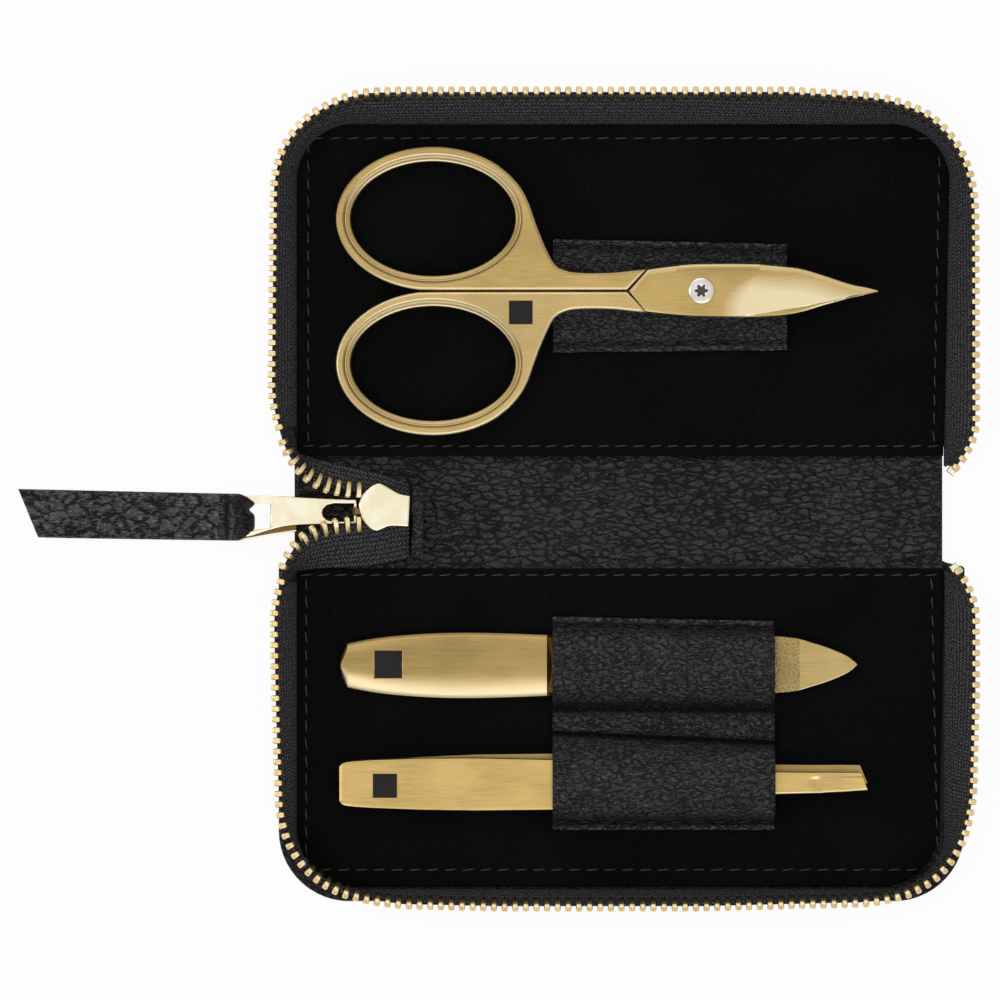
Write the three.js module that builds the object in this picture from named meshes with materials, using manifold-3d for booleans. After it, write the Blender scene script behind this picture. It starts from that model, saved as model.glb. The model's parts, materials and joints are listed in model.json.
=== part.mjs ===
import * as THREE from "three";
import { mergeVertices } from "three/addons/utils/BufferGeometryUtils.js";
import Module from "manifold-3d";

const wasm = await Module();
wasm.setup();

// A zip-around manicure case, open and flat. Millimetres, +Z up, the leather resting on Z = 0.
// The lid lies towards +Y and the base towards -Y, with the spine between them. A half's own
// frame has u along X and v running away from its fold line.

// The case's driving sizes
const panelLength = 110.1;
const panelMidX = 20.65;
const spineWidth = 19.2;
const spineMidY = -0.8;
const lidDepth = 55.4;
const baseDepth = 55.5;
const coverThickness = 1.2;
const boardThickness = 1.0;
const liningThickness = 0.8;
const overrun = 1;
const seatGap = 0.3;
const weldDistance = 1e-5;
const finestDetail = 0.01;

const panelLeft = panelMidX - panelLength / 2;
const panelRight = panelMidX + panelLength / 2;
const boardTop = coverThickness + boardThickness;
const liningTop = boardTop + liningThickness;
const foldRelief = 0.9;
const innerEdgeRadius = 1.5;

const halves = {
  lid: {
    side: 1,
    foldY: spineMidY + spineWidth / 2,
    depth: lidDepth,
    coverLeft: 2.1,
    coverRight: 1.8,
    coverFar: 2.3,
    coverRadius: 14.5,
    wallFar: 4.75,
    endV: -3.2,
    endIn: 3.4,
  },
  base: {
    side: -1,
    foldY: spineMidY - spineWidth / 2,
    depth: baseDepth,
    coverLeft: 3.2,
    coverRight: 3.5,
    coverFar: 2.5,
    coverRadius: 12,
    wallFar: 3.05,
    endV: 1.9,
    endIn: 3.0,
  },
};
const liningRadius = 13.5;

// The zip's sizes
const wallLeft = 4.1;
const wallRight = 4.9;
const chainHeight = 8.7;
const chainRadiusLeft = 17.5;
const chainRadiusRight = 19.5;
const chainStartV = 3.5;
const chainStartIn = 1.3;
const chainRearRun = 8;
const tapeThickness = 0.6;
const tapeFootGap = 0.3;
const toothPitch = 1.8;
const toothLength = 0.95;
const toothHeight = 1.25;
const chainThickness = 1.1;
const beadInner = 0.45;
const beadOuter = 0.3;
const wallLean = THREE.MathUtils.degToRad(62);

// Geometry helpers

function facingOut(positions, indices) {
  const [a, b, c] = [new THREE.Vector3(), new THREE.Vector3(), new THREE.Vector3()];
  const read = (v, i) => v.fromArray(positions, 3 * i);
  let volume = 0;
  for (let i = 0; i < indices.length; i += 3) {
    read(a, indices[i]);
    read(b, indices[i + 1]);
    read(c, indices[i + 2]);
    volume += a.dot(b.cross(c));
  }
  if (volume < 0) {
    for (let i = 0; i < indices.length; i += 3) {
      [indices[i + 1], indices[i + 2]] = [indices[i + 2], indices[i + 1]];
    }
  }
  const geometry = new THREE.BufferGeometry();
  geometry.setAttribute("position", new THREE.Float32BufferAttribute(positions, 3));
  geometry.setIndex(indices);
  return geometry;
}

// A closed solid through rings of points, capped at both ends or joined into a loop.
function loft(rings, looped = false) {
  const size = rings[0].length;
  const positions = rings.flat().flatMap((point) => point.toArray());
  const indices = [];
  const steps = looped ? rings.length : rings.length - 1;
  for (let i = 0; i < steps; i++) {
    const here = i * size;
    const next = ((i + 1) % rings.length) * size;
    for (let j = 0; j < size; j++) {
      const k = (j + 1) % size;
      indices.push(here + j, here + k, next + k, here + j, next + k, next + j);
    }
  }
  if (!looped) {
    const last = (rings.length - 1) * size;
    for (let j = 1; j < size - 1; j++) {
      indices.push(0, j + 1, j, last, last + j, last + j + 1);
    }
  }
  return facingOut(positions, indices);
}

function prism(shape, low, high, curveSegments = 8) {
  const depth = high - low;
  const geometry = new THREE.ExtrudeGeometry(shape, { depth, bevelEnabled: false, curveSegments });
  return geometry.translate(0, 0, low);
}

// A profile drawn in Y and Z, extruded along X.
function bandAlongX(points, low, high) {
  const shape = new THREE.Shape(points.map(([y, z]) => new THREE.Vector2(y, z)));
  const geometry = prism(shape, low, high);
  const swap = new THREE.Matrix4().set(0, 0, 1, 0, 1, 0, 0, 0, 0, 1, 0, 0, 0, 0, 0, 1);
  return geometry.applyMatrix4(swap);
}

function block(low, high) {
  const size = high.map((value, i) => value - low[i]);
  const middle = high.map((value, i) => (value + low[i]) / 2);
  return new THREE.BoxGeometry(...size).translate(...middle);
}

function solidOf(geometry) {
  const bare = geometry.clone();
  bare.deleteAttribute("normal");
  bare.deleteAttribute("uv");
  const merged = mergeVertices(bare, weldDistance);
  return new wasm.Manifold(
    new wasm.Mesh({
      numProp: 3,
      vertProperties: merged.attributes.position.array,
      triVerts: new Uint32Array(merged.index.array),
    }),
  );
}

function geometryOf(solid) {
  const mesh = solid.simplify(finestDetail).getMesh();
  const geometry = new THREE.BufferGeometry();
  geometry.setAttribute("position", new THREE.BufferAttribute(mesh.vertProperties, 3));
  geometry.setIndex(new THREE.BufferAttribute(mesh.triVerts, 1));
  return geometry;
}

function joined(...geometries) {
  return geometryOf(geometries.map(solidOf).reduce((sum, next) => sum.add(next)));
}

function cutBy(geometry, ...cutters) {
  return geometryOf(cutters.map(solidOf).reduce((rest, next) => rest.subtract(next), solidOf(geometry)));
}

function roundedRectangle(left, low, right, high, radii) {
  const [leftLow, rightLow, rightHigh, leftHigh] = radii;
  const shape = new THREE.Shape();
  shape.moveTo(left + leftLow, low);
  shape.lineTo(right - rightLow, low);
  shape.absarc(right - rightLow, low + rightLow, rightLow, -Math.PI / 2, 0);
  shape.lineTo(right, high - rightHigh);
  shape.absarc(right - rightHigh, high - rightHigh, rightHigh, 0, Math.PI / 2);
  shape.lineTo(left + leftHigh, high);
  shape.absarc(left + leftHigh, high - leftHigh, leftHigh, Math.PI / 2, Math.PI);
  shape.lineTo(left, low + leftLow);
  shape.absarc(left + leftLow, low + leftLow, leftLow, Math.PI, Math.PI * 1.5);
  return shape;
}

const group = new THREE.Group();
const finishes = {
  leather: { color: 0x17171a, roughness: 0.55, metalness: 0 },
  board: { color: 0x8a7f70, roughness: 0.9, metalness: 0 },
  velour: { color: 0x08080a, roughness: 1, metalness: 0 },
  tape: { color: 0x23272f, roughness: 0.9, metalness: 0 },
  gold: { color: 0xe9c987, roughness: 0.2, metalness: 1 },
  brushed: { color: 0xc2a465, roughness: 0.38, metalness: 1 },
  steel: { color: 0xc9ccd0, roughness: 0.25, metalness: 1 },
  enamel: { color: 0x1d1a18, roughness: 0.4, metalness: 0.2 },
};

function add(name, geometry, finish, into = group) {
  const mesh = new THREE.Mesh(geometry, new THREE.MeshStandardMaterial(finishes[finish]));
  mesh.name = name;
  into.add(mesh);
  return mesh;
}

// Panels of one half: cover, board and lining

function panelShape(half, left, right, near, far, nearRadius, farRadius) {
  const low = half.foldY + half.side * near;
  const high = half.foldY + half.side * far;
  if (half.side > 0) {
    return roundedRectangle(left, low, right, high, [nearRadius, nearRadius, farRadius, farRadius]);
  }
  return roundedRectangle(left, high, right, low, [farRadius, farRadius, nearRadius, nearRadius]);
}

function addPanels(name, half) {
  const coverLeft = panelLeft - half.coverLeft;
  const coverRight = panelRight + half.coverRight;
  const coverFar = half.depth + half.coverFar;
  const near = foldRelief;
  const cover = panelShape(half, coverLeft, coverRight, near, coverFar, innerEdgeRadius, half.coverRadius);
  add(name + "_cover", prism(cover, 0, coverThickness), "leather");
  const panel = panelShape(half, panelLeft, panelRight, near, half.depth, innerEdgeRadius, liningRadius);
  add(name + "_board", prism(panel, coverThickness, boardTop), "board");
  add(name + "_lining", prism(panel, boardTop, liningTop), "velour");
}

// The spine and the two strips that bend

const spineEndInset = 0.5;
const spineLeft = panelLeft - spineEndInset;
const spineRight = panelRight - seatGap;
const spineLiningGap = 2.7;
const hingeGap = 0.2;
const hingeLift = 0.2;

function addSpine() {
  const low = halves.base.foldY + foldRelief;
  const high = halves.lid.foldY - foldRelief;
  add("spine_cover", block([spineLeft, low, 0], [spineRight, high, coverThickness]), "leather");
  const liningLow = halves.base.foldY + spineLiningGap;
  const liningHigh = halves.lid.foldY - spineLiningGap;
  const lining = block([spineLeft, liningLow, coverThickness], [spineRight, liningHigh, boardTop]);
  add("spine_lining", lining, "leather");
  for (const [name, half] of Object.entries(halves)) {
    const reach = foldRelief - hingeGap;
    const strip = block(
      [spineLeft, half.foldY - reach, hingeLift],
      [spineRight, half.foldY + reach, coverThickness],
    );
    add(name + "_hinge_leather", strip, "leather");
  }
}

// The zip's walls: a path round three sides of a half, as pieces of curve in u and v

function rimPieces(rim) {
  const { left, right, far, radiusLeft, radiusRight, startV, startIn, endV, endIn, run } = rim;
  const at = (u, v) => new THREE.Vector2(u, v);
  const leftFrom = startV + run;
  const rightFrom = endV + run;
  const corner = (x, radius, from, to) => {
    return new THREE.EllipseCurve(x, far - radius, radius, radius, from, to, true);
  };
  const bend = (...points) => new THREE.QuadraticBezierCurve(...points);
  return [
    bend(at(left + startIn, startV), at(left, startV + run / 2), at(left, leftFrom)),
    new THREE.LineCurve(at(left, leftFrom), at(left, far - radiusLeft)),
    corner(left + radiusLeft, radiusLeft, Math.PI, Math.PI / 2),
    new THREE.LineCurve(at(left + radiusLeft, far), at(right - radiusRight, far)),
    corner(right - radiusRight, radiusRight, Math.PI / 2, 0),
    new THREE.LineCurve(at(right, far - radiusRight), at(right, rightFrom)),
    bend(at(right, rightFrom), at(right, endV + run / 2), at(right - endIn, endV)),
  ];
}

function chainRim(half) {
  return {
    left: panelLeft - wallLeft,
    right: panelRight + wallRight,
    far: half.depth + half.wallFar,
    radiusLeft: chainRadiusLeft,
    radiusRight: chainRadiusRight,
    startV: chainStartV,
    startIn: chainStartIn,
    endV: half.endV,
    endIn: half.endIn,
    run: chainRearRun,
  };
}

function footRim(half) {
  const out = tapeFootGap + tapeThickness / 2;
  return {
    left: panelLeft - out,
    right: panelRight + out,
    far: half.depth + out,
    radiusLeft: liningRadius + out,
    radiusRight: liningRadius + out,
    startV: chainStartV,
    startIn: 0,
    endV: half.endV,
    endIn: 0,
    run: chainRearRun,
  };
}

const rimSteps = [3, 4, 8, 8, 8, 4, 3];

function pairedPoints(pieces) {
  const points = pieces.flatMap((piece, i) => {
    const steps = rimSteps[i];
    return Array.from({ length: steps }, (_, k) => piece.getPointAt(k / steps));
  });
  points.push(pieces.at(-1).getPointAt(1));
  return points;
}

function place(half, point, height) {
  return new THREE.Vector3(point.x, half.foldY + half.side * point.y, height);
}

// A ribbon between a row of foot points and a row of edge points.
function ribbon(feet, edges, thickness) {
  const middleAt = (i) => feet[i].clone().add(edges[i]);
  const rings = feet.map((foot, i) => {
    const edge = edges[i];
    const before = middleAt(Math.max(i - 1, 0));
    const after = middleAt(Math.min(i + 1, feet.length - 1));
    const along = after.sub(before).normalize();
    const across = edge.clone().sub(foot).normalize();
    const out = along.cross(across).normalize().multiplyScalar(thickness / 2);
    return [foot.clone().add(out), edge.clone().add(out), edge.clone().sub(out), foot.clone().sub(out)];
  });
  return loft(rings);
}

// The direction in plan that points away from the panel, for a row that runs clockwise on the lid.
function outwards(points, i, side) {
  const before = points[Math.max(i - 1, 0)];
  const after = points[Math.min(i + 1, points.length - 1)];
  const along = after.clone().sub(before);
  return new THREE.Vector3(-along.y * side, along.x * side, 0).normalize();
}

// Teeth on their bead: one strip whose outer edge steps out at each tooth.
function teethRow(points, leans, side) {
  const half = chainThickness / 2;
  const positions = [];
  const corner = (point, lean, out, offset, lift) => {
    const slope = out.clone().multiplyScalar(Math.cos(lean)).setZ(Math.sin(lean));
    const up = out.clone().multiplyScalar(-Math.sin(lean)).setZ(Math.cos(lean));
    const placed = point.clone().addScaledVector(slope, offset).addScaledVector(up, lift);
    positions.push(placed.x, placed.y, placed.z);
  };
  points.forEach((point, i) => {
    const out = outwards(points, i, side);
    const along = new THREE.Vector3(out.y, -out.x, 0).multiplyScalar(side * toothLength / 2);
    const back = point.clone().sub(along);
    const front = point.clone().add(along);
    for (const lift of [half, -half]) {
      corner(point, leans[i], out, -beadInner, lift);
      corner(back, leans[i], out, beadOuter, lift);
      corner(back, leans[i], out, toothHeight, lift);
      corner(front, leans[i], out, toothHeight, lift);
      corner(front, leans[i], out, beadOuter, lift);
    }
  });
  const indices = [];
  const per = 10;
  const under = 5;
  const quad = (a, b, c, d) => indices.push(a, b, c, a, c, d);
  points.forEach((_, i) => {
    const n = i * per;
    const m = n + under;
    for (let k = 1; k < under - 1; k++) {
      indices.push(n, n + k + 1, n + k, m, m + k, m + k + 1);
      quad(n + k, n + k + 1, m + k + 1, m + k);
    }
    if (i === points.length - 1) return;
    const next = n + per;
    quad(n, next, next + 1, n + under - 1);
    quad(m, m + under - 1, next + under + 1, next + under);
    quad(n + under - 1, next + 1, next + under + 1, m + under - 1);
    quad(next, n, m, next + under);
  });
  quad(0, 1, under + 1, under);
  const last = (points.length - 1) * per;
  quad(last + under - 1, last, last + under, last + per - 1);
  return facingOut(positions, indices);
}

function along(curve, pitch) {
  const count = Math.max(2, Math.round(curve.getLength() / pitch));
  return Array.from({ length: count }, (_, i) => curve.getPointAt((i + 0.5) / count));
}

const stopSize = { along: 1.2, across: 1.5, thick: 1.5 };

function addWall(name, half) {
  const chain = rimPieces(chainRim(half));
  const feet = pairedPoints(rimPieces(footRim(half)));
  const edges = pairedPoints(chain);
  const footHeight = coverThickness + tapeFootGap;
  const flat = edges.map((point) => place(half, point, chainHeight));
  const short = beadInner + seatGap;
  const topLevel = chainHeight - short * Math.sin(wallLean);
  const tops = flat.map((point, i) => {
    const out = outwards(flat, i, half.side);
    return point.clone().addScaledVector(out, -short * Math.cos(wallLean)).setZ(topLevel);
  });
  const bottoms = feet.map((point) => place(half, point, footHeight));
  add(name + "_zip_tape", ribbon(bottoms, tops, tapeThickness), "tape");
  const path = new THREE.CurvePath();
  chain.forEach((piece) => path.add(piece));
  const stations = along(path, toothPitch).map((point) => place(half, point, chainHeight));
  const leans = stations.map(() => wallLean);
  add(name + "_zip_teeth", teethRow(stations, leans, half.side), "gold");
  const end = place(half, chain.at(-1).getPointAt(1), chainHeight);
  const clamp = new THREE.BoxGeometry(stopSize.across, stopSize.along, stopSize.thick);
  const stop = add(name + "_top_stop", clamp, "gold");
  const out = outwards([stations.at(-2), stations.at(-1)], 1, half.side);
  stop.position.copy(end).addScaledVector(
    new THREE.Vector3(out.y, -out.x, 0), half.side * (stopSize.along / 2 + seatGap));
  stop.rotation.set(0, 0, Math.atan2(out.y, out.x));
}

// The slider, on the spine's left end, with the tapes' ends running into it

const slider = {
  left: -24,
  right: -15.2,
  midY: -1.3,
  wideHalf: 4.0,
  narrowHalf: 2.7,
  waist: 3.4,
  low: 4.1,
  plate: 1.0,
  mouth: 1.5,
  postLength: 2.6,
  postHalf: 0.6,
};
const plateShares = { shoulder: 1.2, cheek: 0.85, bulge: 1.15, brow: 0.8 };
slider.high = slider.low + 2 * slider.plate + slider.mouth;
const tapeLevel = slider.low + slider.plate + slider.mouth / 2;

function sliderPlate() {
  const { left, right, midY, wideHalf, narrowHalf, waist } = slider;
  const shoulder = right - waist * plateShares.shoulder;
  const cheek = wideHalf * plateShares.cheek;
  const bulge = wideHalf * plateShares.bulge;
  const brow = wideHalf * plateShares.brow;
  const browX = left + waist / 2;
  const neck = right - waist / 2;
  const shape = new THREE.Shape();
  shape.moveTo(right, midY - narrowHalf);
  shape.lineTo(right, midY + narrowHalf);
  shape.lineTo(neck, midY + narrowHalf);
  shape.quadraticCurveTo(right - waist, midY + narrowHalf, shoulder, midY + cheek);
  shape.quadraticCurveTo(left + waist, midY + bulge, browX, midY + brow);
  shape.quadraticCurveTo(left, midY + wideHalf / 2, left, midY);
  shape.quadraticCurveTo(left, midY - wideHalf / 2, browX, midY - brow);
  shape.quadraticCurveTo(left + waist, midY - bulge, shoulder, midY - cheek);
  shape.quadraticCurveTo(right - waist, midY - narrowHalf, neck, midY - narrowHalf);
  return shape;
}

const bail = {
  midY: -2.0,
  legLeft: -24.9,
  legRight: -17.4,
  leg: 0.9,
  half: 0.8,
  low: 2.3,
  bar: 0.4,
};

const pull = {
  hingeX: -22.9,
  barHalf: 0.45,
  low: 3.05,
  thickness: 0.75,
  topY: 0.1,
  topLeftY: 0.8,
  bottomY: -3.9,
  bodyBottomY: -4.4,
  bottomLeftY: -6.9,
  left: -44.3,
  slotLeft: -30.1,
  slotRight: -23.35,
  slotTop: -0.65,
  slotBottom: -3.45,
  windowLeft: -42.9,
  windowRight: -38.9,
  windowTop: -0.4,
  windowBottom: -4.8,
  rail: 0.8,
  flareX: -36.5,
};

function addSlider() {
  const plate = sliderPlate();
  const low = prism(plate, slider.low, slider.low + slider.plate, 4);
  const high = prism(plate, slider.high - slider.plate, slider.high, 4);
  const postLeft = slider.left + seatGap;
  const post = block(
    [postLeft, slider.midY - slider.postHalf, slider.low],
    [postLeft + slider.postLength, slider.midY + slider.postHalf, slider.high],
  );
  const nose = block(
    [bail.legLeft, bail.midY - bail.half, slider.low],
    [postLeft + seatGap, bail.midY + bail.half, slider.low + slider.plate],
  );
  add("zip_slider", joined(low, high, post, nose), "gold");
  const arch = block(
    [bail.legLeft, bail.midY - bail.half, bail.low],
    [bail.legRight, bail.midY + bail.half, slider.low],
  );
  const gap = block(
    [bail.legLeft + bail.leg, bail.midY - bail.half - overrun, bail.low + bail.bar],
    [bail.legRight - bail.leg, bail.midY + bail.half + overrun, slider.low + overrun],
  );
  add("slider_bail", cutBy(arch, gap), "gold");
}

function addPull() {
  const shape = new THREE.Shape();
  const right = pull.hingeX + pull.barHalf;
  shape.moveTo(right, pull.topY);
  shape.lineTo(pull.left, pull.topLeftY);
  shape.lineTo(pull.left, pull.bottomLeftY);
  shape.lineTo(pull.windowRight, pull.windowBottom - pull.rail);
  shape.lineTo(pull.flareX, pull.bodyBottomY);
  shape.lineTo(right, pull.bottomY);
  const slot = new THREE.Path();
  const slotHalf = (pull.slotTop - pull.slotBottom) / 2;
  const slotMid = (pull.slotTop + pull.slotBottom) / 2;
  slot.moveTo(pull.slotRight, pull.slotTop);
  slot.lineTo(pull.slotRight, pull.slotBottom);
  slot.lineTo(pull.slotLeft + slotHalf, pull.slotBottom);
  slot.absarc(pull.slotLeft + slotHalf, slotMid, slotHalf, -Math.PI / 2, -Math.PI * 1.5, true);
  const window = new THREE.Path();
  window.moveTo(pull.windowRight, pull.windowTop);
  window.lineTo(pull.windowRight, pull.windowBottom);
  window.lineTo(pull.windowLeft, pull.windowBottom);
  window.lineTo(pull.windowLeft, pull.windowTop);
  shape.holes.push(slot, window);
  add("pull_tab", prism(shape, pull.low, pull.low + pull.thickness, 5), "gold");
}

// The strap: one piece of leather folded round the pull's left bar, its two layers lying on each other

const strap = {
  left: -81.9,
  leftLean: 3.4,
  neckX: -48.5,
  high: 1.8,
  low: -6.9,
  layer: 1.05,
  slit: 0.3,
  eyeHalf: 0.95,
};

function addStrap() {
  const barX = (pull.left + pull.windowLeft) / 2;
  const barZ = pull.low + pull.thickness / 2;
  const inner = barZ - strap.eyeHalf;
  const outer = inner - strap.layer;
  const top = barZ + strap.eyeHalf;
  const wrapLeft = barX - strap.eyeHalf;
  const wrapInner = barX + strap.eyeHalf;
  const wrapRight = wrapInner + strap.layer;
  const wrapBend = strap.layer / 2;
  const profile = new THREE.Shape();
  const upperLow = strap.layer + strap.slit;
  const upperHigh = upperLow + strap.layer;
  profile.moveTo(strap.left, 0);
  profile.lineTo(strap.neckX, 0);
  profile.lineTo(wrapLeft, outer);
  profile.lineTo(wrapRight - wrapBend, outer);
  profile.lineTo(wrapRight, inner - wrapBend);
  profile.lineTo(wrapRight, top + wrapBend);
  profile.lineTo(wrapRight - wrapBend, top + strap.layer);
  profile.lineTo(wrapLeft, top + strap.layer);
  profile.lineTo(strap.neckX, upperHigh);
  profile.lineTo(strap.left, upperHigh);
  profile.lineTo(strap.left, upperLow);
  profile.lineTo(strap.neckX, upperLow);
  profile.lineTo(wrapLeft, top);
  profile.lineTo(wrapInner, top);
  profile.lineTo(wrapInner, inner);
  profile.lineTo(wrapLeft, inner);
  profile.lineTo(strap.neckX, strap.layer);
  profile.lineTo(strap.left, strap.layer);
  const width = strap.high - strap.low;
  const sheet = prism(profile, 0, width);
  sheet.applyMatrix4(new THREE.Matrix4().set(1, 0, 0, 0, 0, 0, -1, strap.high, 0, 1, 0, 0, 0, 0, 0, 1));
  const outline = new THREE.Shape();
  const eye = wrapRight + overrun;
  outline.moveTo(strap.left, strap.high);
  outline.lineTo(strap.left + strap.leftLean, strap.low);
  outline.lineTo(strap.neckX, strap.low);
  outline.lineTo(wrapLeft - strap.layer, pull.windowBottom + seatGap);
  outline.lineTo(eye, pull.windowBottom + seatGap);
  outline.lineTo(eye, pull.windowTop - seatGap);
  outline.lineTo(wrapLeft - strap.layer, pull.windowTop - seatGap);
  outline.lineTo(strap.neckX, strap.high);
  const tall = prism(outline, -overrun, top + strap.layer + overrun);
  add("pull_strap", geometryOf(solidOf(sheet).intersect(solidOf(tall))), "leather");
}

// The tapes' free ends: from the walls, round the V and into the slider

const tail = {
  mouthX: -23.3,
  chainY: 2.8,
  footY: 6.6,
  footLevel: 4.8,
  endX: -15.2,
  swing: 5.3,
  drop: 7.3,
  inward: 2.1,
};
const endSteps = 12;
const toothEndInset = 0.5;

function addTapeEnd(name, half) {
  const side = half.side;
  const rim = chainRim(half);
  const point = (x, y, z) => new THREE.Vector3(x, y, z);
  const wallY = half.foldY + side * (chainStartV - seatGap);
  const startX = rim.left + rim.startIn;
  const meetY = slider.midY + side * tail.chainY;
  const chain = new THREE.CubicBezierCurve3(
    point(startX, wallY, chainHeight),
    point(startX + tail.inward, wallY - side * tail.drop, chainHeight),
    point(tail.mouthX - tail.drop, meetY, tapeLevel),
    point(tail.mouthX, meetY, tapeLevel),
  );
  const footX = footRim(half).left;
  const footMeetY = slider.midY + side * tail.footY;
  const foot = new THREE.CubicBezierCurve3(
    point(footX, wallY, coverThickness + 2 * tapeFootGap),
    point(footX - seatGap, wallY - side * tail.swing, tail.footLevel),
    point(footX + 2 * seatGap, footMeetY, tail.footLevel),
    point(tail.mouthX, footMeetY, tail.footLevel),
  );
  const feet = [];
  const edges = [];
  const stations = Array.from({ length: endSteps + 1 }, (_, i) => chain.getPointAt(i / endSteps));
  const leanAt = (share) => wallLean * (1 - share);
  stations.forEach((station, i) => {
    const share = i / endSteps;
    const out = outwards(stations, i, -side);
    const lean = leanAt(share);
    const short = beadInner + seatGap;
    edges.push(
      station.clone().addScaledVector(out, -short * Math.cos(lean)).setZ(station.z - short * Math.sin(lean)),
    );
    feet.push(foot.getPointAt(share));
  });
  const tailEnd = edges.at(-1).clone().setX(tail.endX);
  edges.push(tailEnd);
  feet.push(feet.at(-1).clone().setX(tail.endX));
  add(name + "_tape_end", ribbon(feet, edges, tapeThickness), "tape");
  const count = Math.round(chain.getLength() / toothPitch);
  const teeth = Array.from({ length: count }, (_, i) => chain.getPointAt((i + toothEndInset) / count));
  const leans = teeth.map((_, i) => leanAt((i + toothEndInset) / count));
  add(name + "_teeth_end", teethRow(teeth, leans, -side), "gold");
}

const tab = { length: 2.3, above: 0.5, topInset: 0.5 };

function addZipEnds() {
  const stopLow = slider.low + slider.plate + seatGap / 2;
  const stopHigh = slider.high - slider.plate - seatGap / 2;
  const stop = block(
    [slider.right - stopSize.along, slider.midY - stopSize.across / 2, stopLow],
    [slider.right - seatGap, slider.midY + stopSize.across / 2, stopHigh],
  );
  add("zip_bottom_stop", stop, "gold");
  const welt = block(
    [slider.right + seatGap, halves.base.foldY + spineLiningGap + seatGap, boardTop],
    [slider.right + tab.length, slider.midY + slider.wideHalf - tab.topInset, tapeLevel + tab.above],
  );
  add("zip_end_tab", welt, "leather");
}

// Loops sewn on the linings

const loopLeather = 1.0;
const scissorsLoop = { left: 9.1, right: 48.7, low: 25.1, high: 44.3, hem: 2.0, slot: 0.3 };
const toolsLoop = { left: 9.0, right: 46.8, high: -19.9, low: -56.4 };
const fileChannel = { high: -21.6, low: -34.9, rise: 3.2 };
const tweezersChannel = { high: -40.7, low: -55.2, rise: 5.4 };
const archShare = 0.3;
const archSteps = 12;

function archPoints(channel, lift) {
  const width = channel.high - channel.low;
  return Array.from({ length: archSteps + 1 }, (_, i) => {
    const share = i / archSteps;
    const height = channel.rise * Math.sin(Math.PI * share) ** archShare;
    return [channel.high - width * share, liningTop + lift + (i % archSteps ? height : 0)];
  });
}

function addLoops() {
  const s = scissorsLoop;
  const band = [
    [s.low, liningTop],
    [s.low + s.hem, liningTop],
    [s.low + s.hem, liningTop + s.slot],
    [s.high - s.hem, liningTop + s.slot],
    [s.high - s.hem, liningTop],
    [s.high, liningTop],
    [s.high, liningTop + s.slot + loopLeather],
    [s.low, liningTop + s.slot + loopLeather],
  ];
  add("scissors_loop", bandAlongX(band, s.left, s.right), "leather");
  const t = toolsLoop;
  const thick = (channel) => ({
    high: channel.high + loopLeather,
    low: channel.low - loopLeather,
    rise: channel.rise,
  });
  const channels = [fileChannel, tweezersChannel];
  const outer = channels.flatMap((channel) => archPoints(thick(channel), loopLeather));
  const inner = channels.flatMap((channel) => archPoints(channel, 0)).reverse();
  const profile = [
    [t.high, liningTop],
    [t.high, liningTop + loopLeather],
    ...outer,
    [t.low, liningTop + loopLeather],
    [t.low, liningTop],
    ...inner,
  ];
  add("tools_loop", bandAlongX(profile, t.left, t.right), "leather");
}

// Scissors: modelled flat about the screw, x to the tip, then laid on the loop

const scissors = {
  screwX: 34.3,
  axisY: 35.4,
  bladeLength: 29.9,
  bladeHalf: 4.5,
  plate: 1.4,
  handleHalf: 1.5,
  ringBand: 2.55,
  ringX: -45.6,
  ringHalfX: 14.0,
  ringHalfY: 9.7,
  ringOffset: 12.3,
  rearShift: -0.25,
  apexX: -12.6,
  armX: -9.5,
  armY: 3.4,
  shankHalf: 3.2,
  shankX: -20.5,
  crotchX: -43,
  planeGap: 0.1,
  cutGap: 0.3,
  screwRadius: 1.1,
  screwHead: 2.2,
  headHeight: 0.7,
  neckReach: 6.1,
  inlayX: -30.65,
  inlayY: -3.65,
  inlaySize: 4.0,
};
const headShares = { wall: 0.7, top: 0.8, recess: 0.65 };
const bladeShares = [
  [-0.3, 0.9], [0.02, 1.02], [0.29, 1], [0.43, 0.9], [0.56, 0.78], [0.7, 0.53], [0.83, 0.27], [1, 0],
];
const ringSteps = 36;
const inlayThickness = 0.4;

function inlayPlate(size) {
  return new THREE.BoxGeometry(size, size, inlayThickness);
}

function ringSolid(side) {
  const s = scissors;
  const bevel = s.ringBand / 4;
  const section = [
    [0, -s.handleHalf + bevel],
    [bevel, -s.handleHalf],
    [s.ringBand - bevel, -s.handleHalf],
    [s.ringBand, -s.handleHalf + bevel],
    [s.ringBand, s.handleHalf - bevel],
    [s.ringBand - bevel, s.handleHalf],
    [bevel, s.handleHalf],
    [0, s.handleHalf - bevel],
  ];
  const rings = Array.from({ length: ringSteps }, (_, i) => {
    const turn = (2 * Math.PI * i) / ringSteps;
    return section.map(([out, z]) => {
      const x = s.ringX + (s.ringHalfX + out) * Math.cos(turn);
      const y = side * s.ringOffset + (s.ringHalfY + out) * Math.sin(turn);
      return new THREE.Vector3(x, y, z);
    });
  });
  return loft(rings, true);
}

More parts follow.
